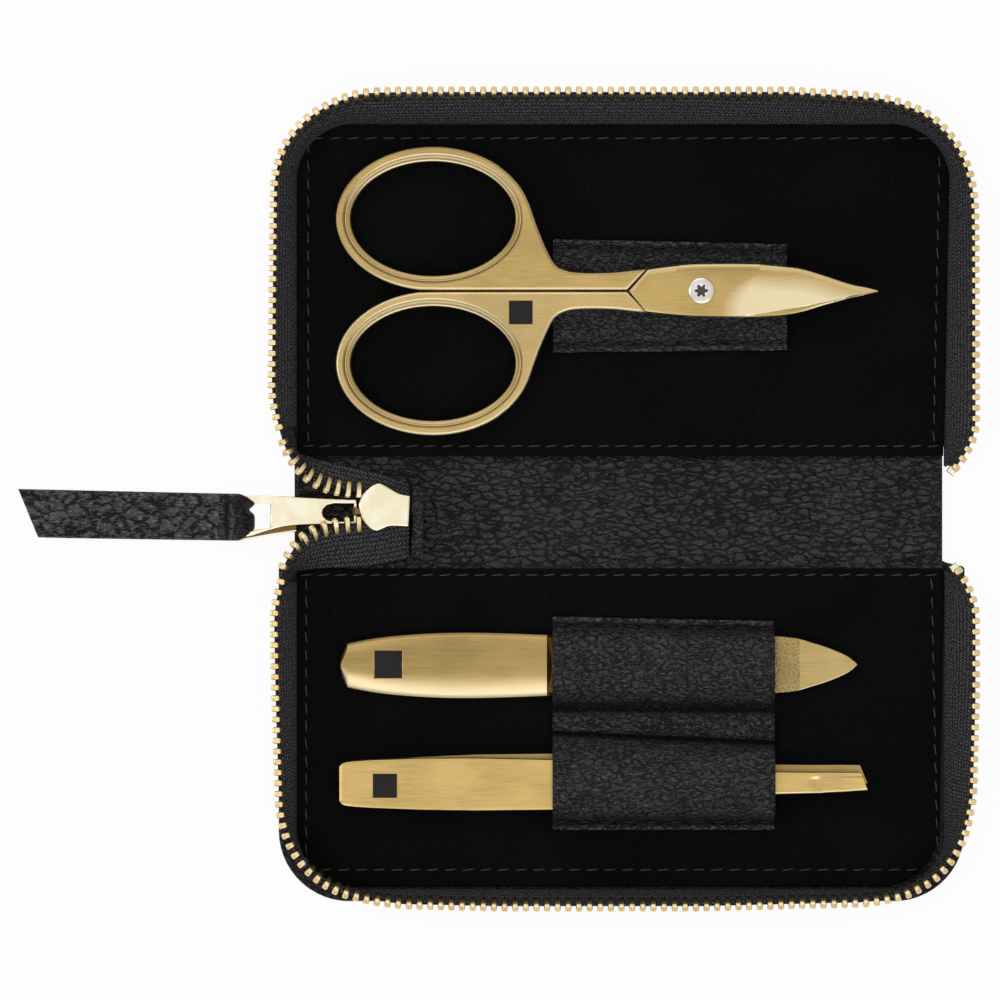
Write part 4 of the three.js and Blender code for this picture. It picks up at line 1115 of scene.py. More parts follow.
# Pixels of the photograph, and how many pixels further in than the even rim the teeth run there
CHAIN_SHIFT = {
    "lid": [((275, 400), 0.0), ((270, 188), 2.2), ((284, 143), 0.4), ((303, 118), 1.0), ((331, 99), 2.5),
            ((362, 92), 1.3), ((404, 91), 0.0), ((790, 90), 0.0), ((845, 90), 3.6), ((871, 91), 5.2),
            ((892, 94), 4.7), ((912, 102), 3.5), ((931, 114), 0.8), ((959, 145), 0.3), ((976, 190), 1.4),
            ((978, 232), 0.4), ((978, 400), 0.0)],
    "base": [((275, 600), 2.0), ((270, 700), 4.0), ((270, 792), 7.0), ((275, 835), 9.0), ((304, 880), 9.0),
             ((352, 905), 9.3), ((372, 908), 7.5), ((405, 908), 3.0), ((500, 908), 1.0), ((700, 909), 1.0),
             ((862, 908), 5.0), ((882, 906), 5.3), ((903, 900), 4.0), ((939, 877), 1.5), ((965, 843), 2.2),
             ((974, 812), 3.8), ((977, 793), 2.6), ((978, 700), 0.0)],
}


def chain_shift(half, plan):
    """How far in the teeth run, in millimetres, beside the even rim."""
    spots, shifts = zip(*CHAIN_SHIFT[half])
    places = np.array([photo(*spot) for spot in spots])
    nearest = [int(np.argmin(np.linalg.norm(plan - place, axis=1))) for place in places]
    return np.interp(np.arange(len(plan)), nearest, np.array(shifts) * PHOTO_SCALE)


def level_normals(points):
    """Level unit vectors to the right of a path, seen along it."""
    flat = side_normals(points[:, :2])
    return np.concatenate([flat, np.zeros((len(flat), 1))], axis=1)


UP = np.array([0, 0, 1.0])


def chain_path(half):
    """The row of teeth round a half, and the direction of each tooth."""
    rim = RIM[half]
    plan = rim_path(
        CHAIN["left"], CHAIN["right"], rim["far"], CHAIN["radius_left"], CHAIN["radius_right"],
        CHAIN["start_v"], CHAIN["start_in"], rim["end_v"], rim["end_in"], CHAIN["run"])
    points = np.stack([
        plan[:, 0], FOLD[half] + SIDE[half] * plan[:, 1], np.full(len(plan), CHAIN["height"])], axis=1)
    out = -SIDE[half] * level_normals(points)
    points = points - out * chain_shift(half, points[:, :2])[:, None]
    lean = (CHAIN["side_lean"] + (CHAIN["lean"] - CHAIN["side_lean"]) * out[:, 1] ** 2)[:, None]
    return points, out, out * np.cos(lean) + UP * np.sin(lean)


def foot_path(half):
    """The line where a wall's tape leaves the panel."""
    rim = RIM[half]
    plan = rim_path(
        FOOT["left"], FOOT["right"], rim["foot_far"], FOOT["radius"], FOOT["radius"], CHAIN["start_v"], 0.0,
        rim["end_v"], 0.0, CHAIN["run"])
    slant = np.where(plan[:, 0] > FOOT["right"] / 2, rim["slant"] * np.clip(plan[:, 1] / 50, 0, 1), 0.0)
    return np.stack([
        plan[:, 0] + slant, FOLD[half] + SIDE[half] * plan[:, 1], np.full(len(plan), FOOT["height"])], axis=1)


TAPE_TIP = 0.12


def tape_ribbon(name, feet, edges, belly, bead=0.42, across=12, thickness=0.5):
    """A tape between two lines, with a rounded bead along its upper edge."""
    along = np.gradient((feet + edges) / 2, axis=0)
    run = np.concatenate([[0], np.cumsum(np.linalg.norm(np.diff((feet + edges) / 2, axis=0), axis=1))])
    rings, chart = [], []
    for i, (foot, edge) in enumerate(zip(feet, edges)):
        across_tape = edge - foot
        height = np.linalg.norm(across_tape)
        across_tape = across_tape / height
        out = np.cross(along[i], across_tape)
        out /= np.linalg.norm(out)
        front, back, places = [], [], []
        for t in np.linspace(0, 1, across):
            middle = foot + (edge - foot) * t + belly(i, t)
            to_edge = (1 - t) * height
            half = thickness / 2
            if to_edge < 2 * bead:
                half = max(half, math.sqrt(max(bead ** 2 - (to_edge - bead) ** 2, 0.0)))
            if t == 1:
                half = TAPE_TIP
            front.append(middle + out * half)
            back.append(middle - out * half)
            places.append((run[i], t * height))
        rings.append(front + back[::-1])
        chart.extend(places + places[::-1])
    return loft(name, rings, "Zip tape", sharp=60.0, chart=chart)


def make_tape_walls():
    """The woven walls that carry the rows of teeth."""
    for half in ("lid", "base"):
        points, out, slope = chain_path(half)
        feet = foot_path(half)
        edges = points + slope * 0.15

        def belly(i, t):
            return -out[i] * 0.45 * math.sin(math.pi * t) + UP * 0.12 * math.sin(3 * math.pi * t)

        made = tape_ribbon(half + "_tape_wall", feet, edges, belly)
        attach(made, half, (half + "_zip_tape",))


# The tape's free ends, from the wall into the slider: the edge with the teeth, and the other edge
TAIL = {
    "lid": {
        "chain": [(-37.2, 12.0, 8.7), (-35.1, 4.7, 8.7), (-30.6, 1.5, 5.85), (-23.3, 1.5, 5.85), (-19.5, 0.9, 5.85),
                  (-15.4, -0.6, 5.85)],
        "foot": [(-35.0, 12.0, 1.8), (-34.7, 9.4, 2.0), (-34.2, 7.8, 2.7), (-30.5, 6.6, 4.2), (-25.0, 5.3, 4.4),
                 (-20.0, 4.2, 4.2), (-15.4, 2.5, 3.6)],
    },
    "base": {
        "chain": [(-37.2, -13.6, 8.7), (-35.1, -6.3, 8.7), (-30.6, -4.1, 5.85), (-23.3, -4.1, 5.85),
                  (-19.5, -3.5, 5.85), (-15.4, -2.0, 5.85)],
        "foot": [(-35.0, -13.6, 1.8), (-34.8, -12.2, 2.1), (-30.5, -11.6, 3.2), (-25.0, -11.4, 3.1),
                 (-20.0, -10.8, 2.9), (-15.4, -9.9, 2.7)],
    },
}
TOOTH_STOP_X = -23.6
TOOTH_JITTER = 0.03
TAIL_LAP = 0.7


def tail_lines(half, count=60):
    """The tape's free end: its chain edge and its other edge, as even points."""
    start, control_a, control_b, mouth, *after = [np.array(p, float) for p in TAIL[half]["chain"]]
    ts = np.linspace(0, 1, 40)[:, None]
    bent = (start * (1 - ts) ** 3 + 3 * control_a * ts * (1 - ts) ** 2 + 3 * control_b * ts ** 2 * (1 - ts)
            + mouth * ts ** 3)
    chain = smooth_path(list(bent[::3]) + [mouth] + after, count)
    foot = smooth_path(TAIL[half]["foot"], count)
    return chain, foot, bent


def tail_slopes(points, half):
    """The direction of each tooth on the free end, which turns flat towards the slider."""
    out = SIDE[half] * level_normals(points)
    lean = CHAIN["lean"] * (1 - np.linspace(0, 1, len(points)))[:, None]
    return out * np.cos(lean) + UP * np.sin(lean)


def blend_tail(piece, half):
    """Bakes the free end's transform into its mesh; it is not bent between its wall and the spine."""
    if half == "lid":
        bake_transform(piece)
    else:
        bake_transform(piece)
    return piece


def make_tape_ends():
    """The tape's free ends, from the walls into the slider and under the end tab."""
    for half in ("lid", "base"):
        chain, foot, _ = tail_lines(half)
        lap = np.array([0, SIDE[half] * TAIL_LAP, 0])
        chain = np.concatenate([[chain[0] + lap], chain])
        foot = np.concatenate([[foot[0] + lap], foot])
        edge = chain + tail_slopes(chain, half) * 0.1
        tape = tape_ribbon(half + "_tape_tail", foot, edge, lambda i, t: UP * 0.25 * math.sin(math.pi * t))
        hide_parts(half + "_tape_end")
        blend_tail(tape, half)


def make_teeth(sizes):
    """Rows of teeth on the walls and on the free ends."""
    shape = tooth_shape()
    pitch = sizes.tooth_pitch / MM
    for half in ("lid", "base"):
        points, _, slope = chain_path(half)
        length = np.linalg.norm(np.diff(points, axis=0), axis=1).sum()
        even = length / round(length / pitch) * 0.99999
        row = repeat_along(
            half + "_teeth", [points], [slope], even * MM, shape, "Tooth gold", jitter=TOOTH_JITTER, seed=11)
        attach(row, half, (half + "_zip_teeth",))
        _, _, bent = tail_lines(half)
        run = np.concatenate([[0], np.cumsum(np.linalg.norm(np.diff(bent, axis=0), axis=1))])
        bent = bent[(bent[:, 0] <= TOOTH_STOP_X) & (run >= even)]
        inner = smooth_path(list(bent[::2]), 60)
        tail = repeat_along(
            half + "_teeth_tail", [inner], [tail_slopes(inner, half)], even * MM, shape, "Tooth gold",
            jitter=TOOTH_JITTER, seed=12)
        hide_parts(half + "_teeth_end")
        blend_tail(tail, half)
    bpy.data.objects.remove(shape)


def rounded_block(name, low, high, radius, finish):
    """A block with rounded edges."""
    rows = spread(low[1], high[1], (high[1] - low[1]) / 3, radius)
    width = high[0] - low[0]
    columns = spread(0.0, 1.0, 0.3, radius / width)
    return sheet(
        name, rows, lambda y: low[0], lambda y: high[0], lambda x, y: low[2], lambda x, y: high[2], radius, 1.0,
        finish, columns=columns)


STOP_HALF = np.array([0.6, 0.75, 0.75])


def make_zip_ends():
    """Top stops at the far end and the leather tab behind the slider."""
    for half in ("lid", "base"):
        low, high = box_of(half + "_top_stop")
        points, _, _ = chain_path(half)
        heading = math.atan2(*(points[-1] - points[-3])[1::-1])
        made = rounded_block(half + "_stop", -STOP_HALF, STOP_HALF, 0.35, "Zip gold")
        made.data.transform(Matrix.Translation(Vector((low + high) / 2) * MM) @ Matrix.Rotation(heading, 4, "Z"))
        attach(made, half, (half + "_top_stop",))
    dress_node("zip_bottom_stop", "Zip gold")
    low, high = box_of("zip_end_tab")

    def top(x, y):
        return high[2] - 0.35 + 0.3 * wave(x * 0.3, y * 0.45, 6.0)

    made = sheet(
        "end_tab", spread(-9.9, high[1], 0.4, 0.6), lambda y: low[0] + 0.1 * math.sin(y), lambda y: high[0],
        lambda x, y: low[2] - 0.1, top, rounding=0.5, step=0.3, finish="Loop leather",
        columns=spread(0.0, 1.0, 0.12, 0.2))
    attach(made, "spine", ("zip_end_tab",))


# The slider, its bail, the pull and the strap

# Outlines of the slider and of the pull, in pixels of the photograph, and which of their points are corners
SLIDER_OUTLINE = [
    (359.2, 507.2), (360.2, 500.5), (364.0, 493.0), (370.5, 486.8), (376.0, 483.8), (380.5, 483.4), (386.0, 486.0),
    (392.6, 489.9), (400.0, 493.7), (410.3, 495.9), (409.6, 511.0), (408.8, 526.8), (399.0, 526.3), (389.3, 526.4),
    (382.8, 528.9), (377.0, 531.0), (371.5, 529.2), (366.8, 525.0), (362.2, 518.1)]
SLIDER_CORNERS = (9, 11)
# Thickness of the slider's two plates
SLIDER_BACK = 1.15
SLIDER_FRONT = 1.0


def outline_from(pixels, count, corners=()):
    """A closed outline in plan through pixels of the photograph, with sharp corners kept."""
    places = [photo(*pixel) for pixel in pixels]
    if not corners:
        return smooth_path(places, count, closed=True)
    rolled = places[corners[-1]:] + places[:corners[-1]]
    marks = sorted((corner - corners[-1]) % len(places) for corner in corners) + [len(places)]
    rolled.append(rolled[0])
    runs = [smooth_path(rolled[a:b + 1], max(3, int(count * (b - a) / len(places))))[:-1]
            for a, b in zip(marks, marks[1:])]
    return np.concatenate(runs)


def make_slider():
    """The slider with its smooth back plate up, and the bail under it."""
    low, high = box_of("zip_slider")
    outline = outline_from(SLIDER_OUTLINE, 90, SLIDER_CORNERS)
    upper = plate("slider_upper", [outline], high[2] - SLIDER_BACK, high[2], 0.3, "Zip gold", steps=4)
    lower = plate("slider_lower", [outline], low[2], low[2] + SLIDER_FRONT, 0.25, "Zip gold", steps=2)
    post = rounded_block("slider_post", (-23.6, -1.9, low[2] + 0.5), (-21.1, -0.7, high[2] - 0.5), 0.3, "Zip gold")
    nose = rounded_block("slider_nose", (-24.6, -2.6, low[2]), (-23.0, -1.4, high[2] - 1.5), 0.35, "Shade gold")
    wings = [
        rounded_block("slider_wing", (-20.8, y0, low[2] + 0.4), (-15.5, y1, high[2] - 0.4), 0.2, "Zip gold")
        for y0, y1 in ((0.05, 0.55), (-4.35, -3.85))]
    attach(join("slider", [upper, lower, post, nose, *wings]), "spine", ("zip_slider",))
    low, high = box_of("slider_bail")
    profile = [(low[0], high[2]), (low[0], low[2] + 0.5), (low[0] + 0.5, low[2]), (high[0] - 0.5, low[2]),
               (high[0], low[2] + 0.5), (high[0], high[2])]
    path = smooth_path(profile, 40)
    middle_y, half_y, thick = (low[1] + high[1]) / 2, (high[1] - low[1]) / 2, 0.4
    rings = []
    for (x, z), (nx, nz) in zip(path, -side_normals(path)):
        rings.append([
            (x + nx * offset, middle_y + across, z + nz * offset)
            for across, offset in ((-half_y, 0.1), (-half_y, thick - 0.1), (-half_y + 0.12, thick),
                                   (half_y - 0.12, thick), (half_y, thick - 0.1), (half_y, 0.1),
                                   (half_y - 0.12, 0.0), (-half_y + 0.12, 0.0))])
    attach(loft("bail", rings, "Shade gold"), "spine", ("slider_bail",))


PULL_OUTLINE = [
    (357.0, 499.2), (330.0, 498.2), (300.0, 497.0), (262.0, 495.3), (239.5, 495.0), (237.5, 515.0), (236.5, 537.6),
    (250.0, 536.2), (262.0, 532.6), (275.0, 528.8), (288.0, 526.2), (305.0, 525.2), (330.0, 524.8), (357.0, 524.2)]
PULL_SKIRT = ((236.2, 540.6), (250, 538.6), (262, 536.4), (275, 534.2), (288, 532.2), (296, 531.0))
PULL_CORNERS = (0, 4, 6, 13)
PULL_WINDOW = [(247.5, 502.6), (269.0, 504.0), (270.3, 505.5), (270.3, 527.0), (269.0, 528.0), (247.5, 530.6)]
PULL_SLOT = [(353.9, 503.8), (334.0, 503.6), (327.0, 505.4), (323.2, 509.2), (322.3, 512.8), (323.2, 516.4),
             (327.0, 520.0), (334.0, 521.6), (353.9, 521.4)]


def make_pull():
    """The pull: a cast plate with a slot and a window, and a skirt along its lower edge."""
    low, high = box_of("pull_tab")
    outline = outline_from(PULL_OUTLINE, 110, PULL_CORNERS)
    window = [photo(*pixel) for pixel in PULL_WINDOW]
    slot = [photo(*pixel) for pixel in PULL_SLOT]
    main = plate("pull_plate", [outline, window, slot], low[2], high[2], 0.22, "Zip gold", steps=4)
    edge = smooth_path([photo(*pixel) for pixel in PULL_SKIRT], 40)
    skirt_rings = []
    for x, y in edge:
        skirt_rings.append([
            (x, y - 0.14, low[2] + 0.12), (x, y, low[2]), (x, y + 1.2, low[2]), (x, y + 1.2, low[2] + 0.2),
            (x, y + 0.24, low[2] + 0.2), (x, y + 0.2, high[2] - 0.25), (x, y - 0.06, high[2] - 0.25)])
    skirt = loft("pull_skirt", skirt_rings, "Zip gold")
    skirt.data.materials.append(material("Shade gold"))
    for polygon in skirt.data.polygons:
        if polygon.normal.z > 0.5 and polygon.center.z / MM < low[2] + 0.3:
            polygon.material_index = 1
    attach(join("pull", [main, skirt]), "pull", ("pull_tab",))


STRAP = {"left": -81.9, "lean": 3.4, "high_left": 1.8, "high_right": 1.0, "low_left": -6.45, "low_right": -7.0}
STRAP_LAYER = 1.05
STRAP_COLUMNS = 25
STRAP_NOTCH = {"y": -1.75, "depth": 0.9}
# A line pressed across the strap beside its eye, and its half width
STRAP_PRESS = {"x": -46.4, "width": 0.4}


def make_strap():
    """The strap: one piece of leather folded round the pull's bar, gathered at its eye."""
    bar_x, bar_z = joint_place("strap_swing")[0], box_of("pull_tab")[0][2] + 0.375
    eye = 0.95 + STRAP_LAYER / 2
    lower = [(STRAP["left"], 0.53), (-66, 0.53), (-52, 0.55), (-48.2, 0.75), (bar_x - 1.2, bar_z - eye)]
    turn = [(bar_x + eye * math.sin(a), bar_z - eye * math.cos(a)) for a in np.linspace(0.2, math.pi - 0.2, 7)]
    upper = [(bar_x - 1.2, bar_z + eye), (-47.0, 2.9), (-50.0, 2.0), (-60, 1.9), (STRAP["left"], 1.88)]
    path = smooth_path(lower + turn + upper, 220)
    rings = []
    for (x, z), (nx, nz) in zip(path, side_normals(path)):
        share = np.clip((x - STRAP["left"]) / (-46 - STRAP["left"]), 0, 1)
        top = STRAP["high_left"] + (STRAP["high_right"] - STRAP["high_left"]) * share
        bottom = STRAP["low_left"] + (STRAP["low_right"] - STRAP["low_left"]) * share
        gather = np.clip((x + 44.8) / 3.1, 0, 1) ** 2
        top -= gather * 1.75
        bottom += gather * 2.5
        outer, inner = [], []
        for t in np.linspace(0, 1, STRAP_COLUMNS):
            y = bottom + (top - bottom) * t
            lean = STRAP["lean"] * (1 - t) * np.clip((-74 - x) / 7.9, 0, 1)
            edge = min(t, 1 - t) * (top - bottom)
            half = STRAP_LAYER / 2 - rounded_drop(edge, 0.4)
            ripple = 0.1 * wave(x * 0.25, y * 0.4, z)
            notch = np.clip((x - bar_x) / 1.2, 0, 1) * STRAP_NOTCH["depth"] * bell(y - STRAP_NOTCH["y"], 0.6)
            ripple -= 0.5 * bell(x - STRAP_PRESS["x"], STRAP_PRESS["width"]) if nz > 0.5 else 0.0
            place = x + lean - notch
            outer.append((place + nx * (half + ripple), y, max(0.0, z + nz * (half + ripple))))
            inner.append((place - nx * half, y, max(0.0, z - nz * half)))
        rings.append(outer + inner[::-1])
    made = loft("strap", rings, "Strap leather", sharp=70.0)

    def painted_shade_and_edge_tone(x, *_):
        # Painted shade along the pressed line and where the strap gathers into its eye
        return -1.1 * bell(x - STRAP_PRESS["x"], STRAP_PRESS["width"]) - 0.6 * np.clip((x + 45.6) / 1.5, 0, 1)

    mark(made, "painted_shade_and_edge_tone", painted_shade_and_edge_tone)
    attach(made, "strap", ("pull_strap",))


# Loops sewn on the linings

# How far in from a band's edge its hem is stitched down
HEM = 1.35
HEM_STITCHES = {"finish": "Dark thread", "slot": "loop_leather", "turn": 0.08, "pitch": 1.18, "wide": 1.9}
STITCH_END = 1.6


def hem_shade_and_edge_tone(edge):
    """A band's tone by the distance from its edge: paler along the edge, and painted shade along the stitched hem."""
    return 0.35 * bell(edge, 0.5) - 0.6 * bell(edge - HEM, 0.42)


SCISSORS_BAND_TOP = 4.28


def make_scissors_loop(sizes):
    """The flat stitched band that the scissors lie on."""
    top_left, top_right = photo(553, 239), photo(787, 244)
    low_left, low_right = photo(553, 352.5), photo(785, 350)

    def bounds_at(x):
        t = (x - top_left[0]) / (top_right[0] - top_left[0])
        wobble = 0.12 * wave(x * 0.35, 0.5, 0.0)
        return low_left[1] + (low_right[1] - low_left[1]) * t + wobble, top_left[1] + (top_right[1] - top_left[1]) * t

    across = np.concatenate([[0, 0.006, 0.02, 0.045], np.linspace(0.07, 0.93, 36), [0.955, 0.98, 0.994, 1]])
    rings = []
    for x in np.linspace(top_left[0], top_right[0], 110):
        low, high = bounds_at(x)
        top, under = [], []
        for t in across:
            y = low + (high - low) * t
            edge = min(t, 1 - t) * (high - low)
            hem = 0.62 * bell(edge - HEM, 0.45)
            swell = 0.25 * math.sin(math.pi * t) ** 0.5
            ripple = 0.12 * wave(x * 0.3, y * 0.5, 8.0)
            z = LINING_TOP + 1.02 + swell + ripple - hem - rounded_drop(edge, 0.45)
            top.append((x, y, min(z, SCISSORS_BAND_TOP)))
            under.append((x, y, LINING_TOP + 0.03))
        rings.append(top + under[::-1])
    made = loft("scissors_band", rings, "Loop leather", sharp=60.0)

    def painted_shade_and_edge_tone(x, y, _):
        low, high = bounds_at(x)
        # Paler along the band's edges, painted shade along its hems
        return hem_shade_and_edge_tone(min(y - low, high - y))

    mark(made, "painted_shade_and_edge_tone", painted_shade_and_edge_tone)
    attach(made, "lid", ("scissors_loop",))
    stations = np.linspace(top_left[0] + STITCH_END, top_right[0] - STITCH_END, 40)
    level = LINING_TOP + 0.72
    rows = [[(x, bounds_at(x)[edge] + inset, level) for x in stations] for edge, inset in ((1, -HEM), (0, HEM))]
    stitch_rows("scissors_band_stitches", rows, sizes, "lid", seed=21, **HEM_STITCHES)


# The tools' band across Y: its heights over the lining
TOOLS_PROFILE = [
    (-19.9, 0.0), (-19.95, 0.85), (-20.6, 1.05), (-21.1, 0.55), (-21.5, 0.5), (-21.95, 1.35), (-23.2, 3.2),
    (-25.5, 4.05), (-28.3, 4.25), (-31.0, 4.05), (-33.0, 3.1), (-34.2, 1.9), (-34.9, 0.35), (-35.6, 0.3),
    (-36.1, 1.4), (-36.8, 1.65), (-38.4, 1.6), (-39.3, 1.35), (-39.7, 0.4), (-40.2, 1.4), (-41.2, 2.9), (-42.6, 4.7),
    (-45.0, 6.05), (-48.0, 6.4), (-51.0, 6.0), (-53.4, 4.5), (-54.2, 1.6), (-54.6, 0.5), (-55.0, 0.5), (-55.4, 1.05),
    (-56.1, 0.85), (-56.2, 0.0)]
TOOLS_EDGES = (-56.2, -19.85)
TOOLS_LAYER = 0.8
TOOLS_EDGE_LEAN = 0.8
TOOLS_STITCH_LIFT = 0.55
FIRST_FOLD = {"y": -35.3, "slant": 0.4}
VALLEY = {"y": -39.7, "reach": 2.4, "slant": 1.7}


def make_tools_loop(sizes):
    """The stitched band with a channel for the file and one for the tweezers."""
    low, high = box_of("tools_loop")
    left, right = low[0], high[0]
    profile = smooth_path(TOOLS_PROFILE, 130)
    normals = side_normals(profile)
    rings = []
    for x in np.concatenate([[left, left + 0.1, left + 0.3], np.linspace(left + 0.6, right - 0.6, 84),
                             [right - 0.3, right - 0.1, right]]):
        slim = float(rounded_drop(min(x - left, right - x), 0.35))
        outer, inner = [], []
        share = (x - left) / (right - left)
        for (y, lift), (ny, nz) in zip(profile, normals):
            y -= VALLEY["slant"] * share * bell(y - VALLEY["y"], VALLEY["reach"])
            ripple = 0.16 * wave(x * 0.22, y * 0.35, 5.0) + 0.07 * wave(x * 0.9, y * 0.5, 2.0)
            lift = max(lift, 0.0)
            offset = ripple * min(1.0, lift) - slim
            y -= TOOLS_EDGE_LEAN * share * max(0.0, min(1.0, (y + 24.0) / 3))
            for row, inset in ((outer, offset), (inner, -TOOLS_LAYER)):
                row.append((x, np.clip(y + ny * inset, *TOOLS_EDGES), LINING_TOP + max(SKIN_GAP, lift + nz * inset)))
        rings.append(outer + inner[::-1])
    made = loft("tools_band", rings, "Loop leather", sharp=60.0)

    def painted_shade_and_edge_tone(x, y, _):
        share = (x - left) / (right - left)
        edge = min(TOOLS_EDGES[1] - TOOLS_EDGE_LEAN * share - y, y - TOOLS_EDGES[0])
        first = FIRST_FOLD["y"] - FIRST_FOLD["slant"] * share
        second = VALLEY["y"] - VALLEY["slant"] * share
        # Paler along the band's edges, painted shade along the hems and in the two folds of the channels
        return hem_shade_and_edge_tone(edge) - 1.2 * (bell(y - first, 0.75) + bell(y - second, 0.45))

    mark(made, "painted_shade_and_edge_tone", painted_shade_and_edge_tone)
    attach(made, "base", ("tools_loop",))
    stations = np.linspace(left + STITCH_END, right - STITCH_END, 40)
    rows = [[(x, y + lean * (x - left) / (right - left), LINING_TOP + TOOLS_STITCH_LIFT) for x in stations]
            for y, lean in ((-21.3, -0.75), (-54.85, 0.0))]
    stitch_rows("tools_band_stitches", rows, sizes, "base", seed=22, **HEM_STITCHES)


# Scissors, in their own frame about the screw, then laid on the band

SCISSORS_TILT = math.atan(1.3 / 36.95)
RING = {"x": -45.6, "y": 12.3, "hole_x": 14.0, "hole_y": 9.7, "band": 2.55, "rim": 0.95}
RING_STEPS = 96
HANDLE_HALF = 1.5
SHANK_EDGE = [
    (-9.2, 3.72), (-11.8, 3.5), (-14.5, 3.2), (-18.0, 3.08), (-21.0, 3.15), (-23.0, 3.5), (-24.9, 4.55),
    (-26.35, 7.2), (-27.13, 9.03), (-27.85, 10.86), (-28.56, 12.84), (-29.24, 14.81), (-30.09, 16.64),
    (-31.23, 18.33), (-32.64, 19.89)]
RING_START, RING_END = math.radians(48), math.radians(262)
CROTCH_GAP = 0.12
CROTCH_END = -12.6
BLADE_UPPER = [
    (-12.3, 0.05), (-9.05, 3.72), (-6.0, 4.15), (-3.0, 4.5), (0.5, 4.66), (8.6, 4.64), (12.7, 4.3), (16.8, 3.8),
    (20.9, 2.6), (24.9, 1.28), (27.8, 0.62), (29.9, 0.05)]
BLADE_LOWER = [
    (-12.3, -0.05), (-9.4, -3.55), (-6.0, -3.95), (-2.0, -4.28), (2.0, -4.4), (6.9, -4.36), (13.5, -3.3),
    (20.8, -2.05), (25.5, -0.95), (29.9, -0.05)]
REAR_LOWER = [
    (-12.3, -0.05), (-9.4, -3.55), (-6.0, -3.98), (-2.0, -4.32), (2.0, -4.46), (8.0, -4.5), (13.4, -4.2),
    (17.0, -3.6), (20.8, -2.45), (25.5, -1.2), (29.9, -0.15)]
# The blade's ground face: its curved start, as x for each y, and its upper rim, as y for each x
GRIND_ARC = [
    (-4.6, 3.35), (-3.57, 3.4), (-2.16, 3.59), (-0.85, 4.13), (0.44, 5.27), (1.65, 6.9), (2.57, 8.84), (3.15, 11.1),
    (4.8, 30.0)]
GRIND_RIM = [(3.4, 4.2), (11.1, 3.15), (17.3, 2.72), (21.9, 1.43), (29.66, -0.2)]
GRIND_SLOPE = 0.05
BEVEL = 0.85
TIP_THINS = 24


def ground_depth(x, y):
    """How far a place lies inside the blade's ground face."""
    return max(min(between(GRIND_RIM, x) - y, x - between(GRIND_ARC, y)), 0.0)


def scissors_matrix():
    """Where the scissors lie, from the frame's hinge."""
    return Matrix.Translation(Vector(joint_place("scissors_open") * MM)) @ Matrix.Rotation(-SCISSORS_TILT, 4, "Y")


def ellipse(side, out, angles):
    """Points of an ellipse that lies out beyond a finger hole."""
    return np.stack([
        RING["x"] + (RING["hole_x"] + out) * np.cos(angles),
        side * RING["y"] + (RING["hole_y"] + out) * np.sin(angles)], axis=1)


def full_turn(count):
    """Angles once round, in even steps."""
    return np.linspace(0, 2 * math.pi, count, endpoint=False)


def handle_outline(side):
    """The ring's band and the shank as one outline."""
    ring = ellipse(1, RING["band"], np.linspace(RING_START, RING_END, 76))
    crotch = [(x, CROTCH_GAP) for x in (-44.0, -36.0, -24.0, CROTCH_END)]
    return np.concatenate([smooth_path(SHANK_EDGE, 34), ring, crotch]) * np.array([1, side])


def ring_rim(side):
    """The step and the inner rim round a finger hole."""
    section = [
        (0.0, -1.1), (0.12, -1.32), (0.5, -1.38), (RING["rim"] + 0.25, -1.2), (RING["rim"] + 0.25, 1.02),
        (RING["rim"] - 0.1, 1.02), (RING["rim"] - 0.3, 0.86), (0.34, 0.92), (0.12, 0.82), (0.0, 0.6)]
    angles = full_turn(RING_STEPS)
    edges = [np.column_stack([ellipse(side, out, angles), np.full(RING_STEPS, z)]) for out, z in section]
    # The rim is painted in a slightly darker copy of the tool gold, as shade
    made = loft("ring_rim", np.stack(edges, axis=1), "Tool gold in light painted shade", looped=True, sharp=30.0)
    # Painted light on the rim's top and painted shade in the step round the hole
    return mark(made, "painted_light", lambda x, y, z: 0.5 if z > 0.98 else -0.5)


def between(table, x):
    """A table of places read at x."""
    xs, ys = zip(*table)
    return float(np.interp(x, xs, ys))


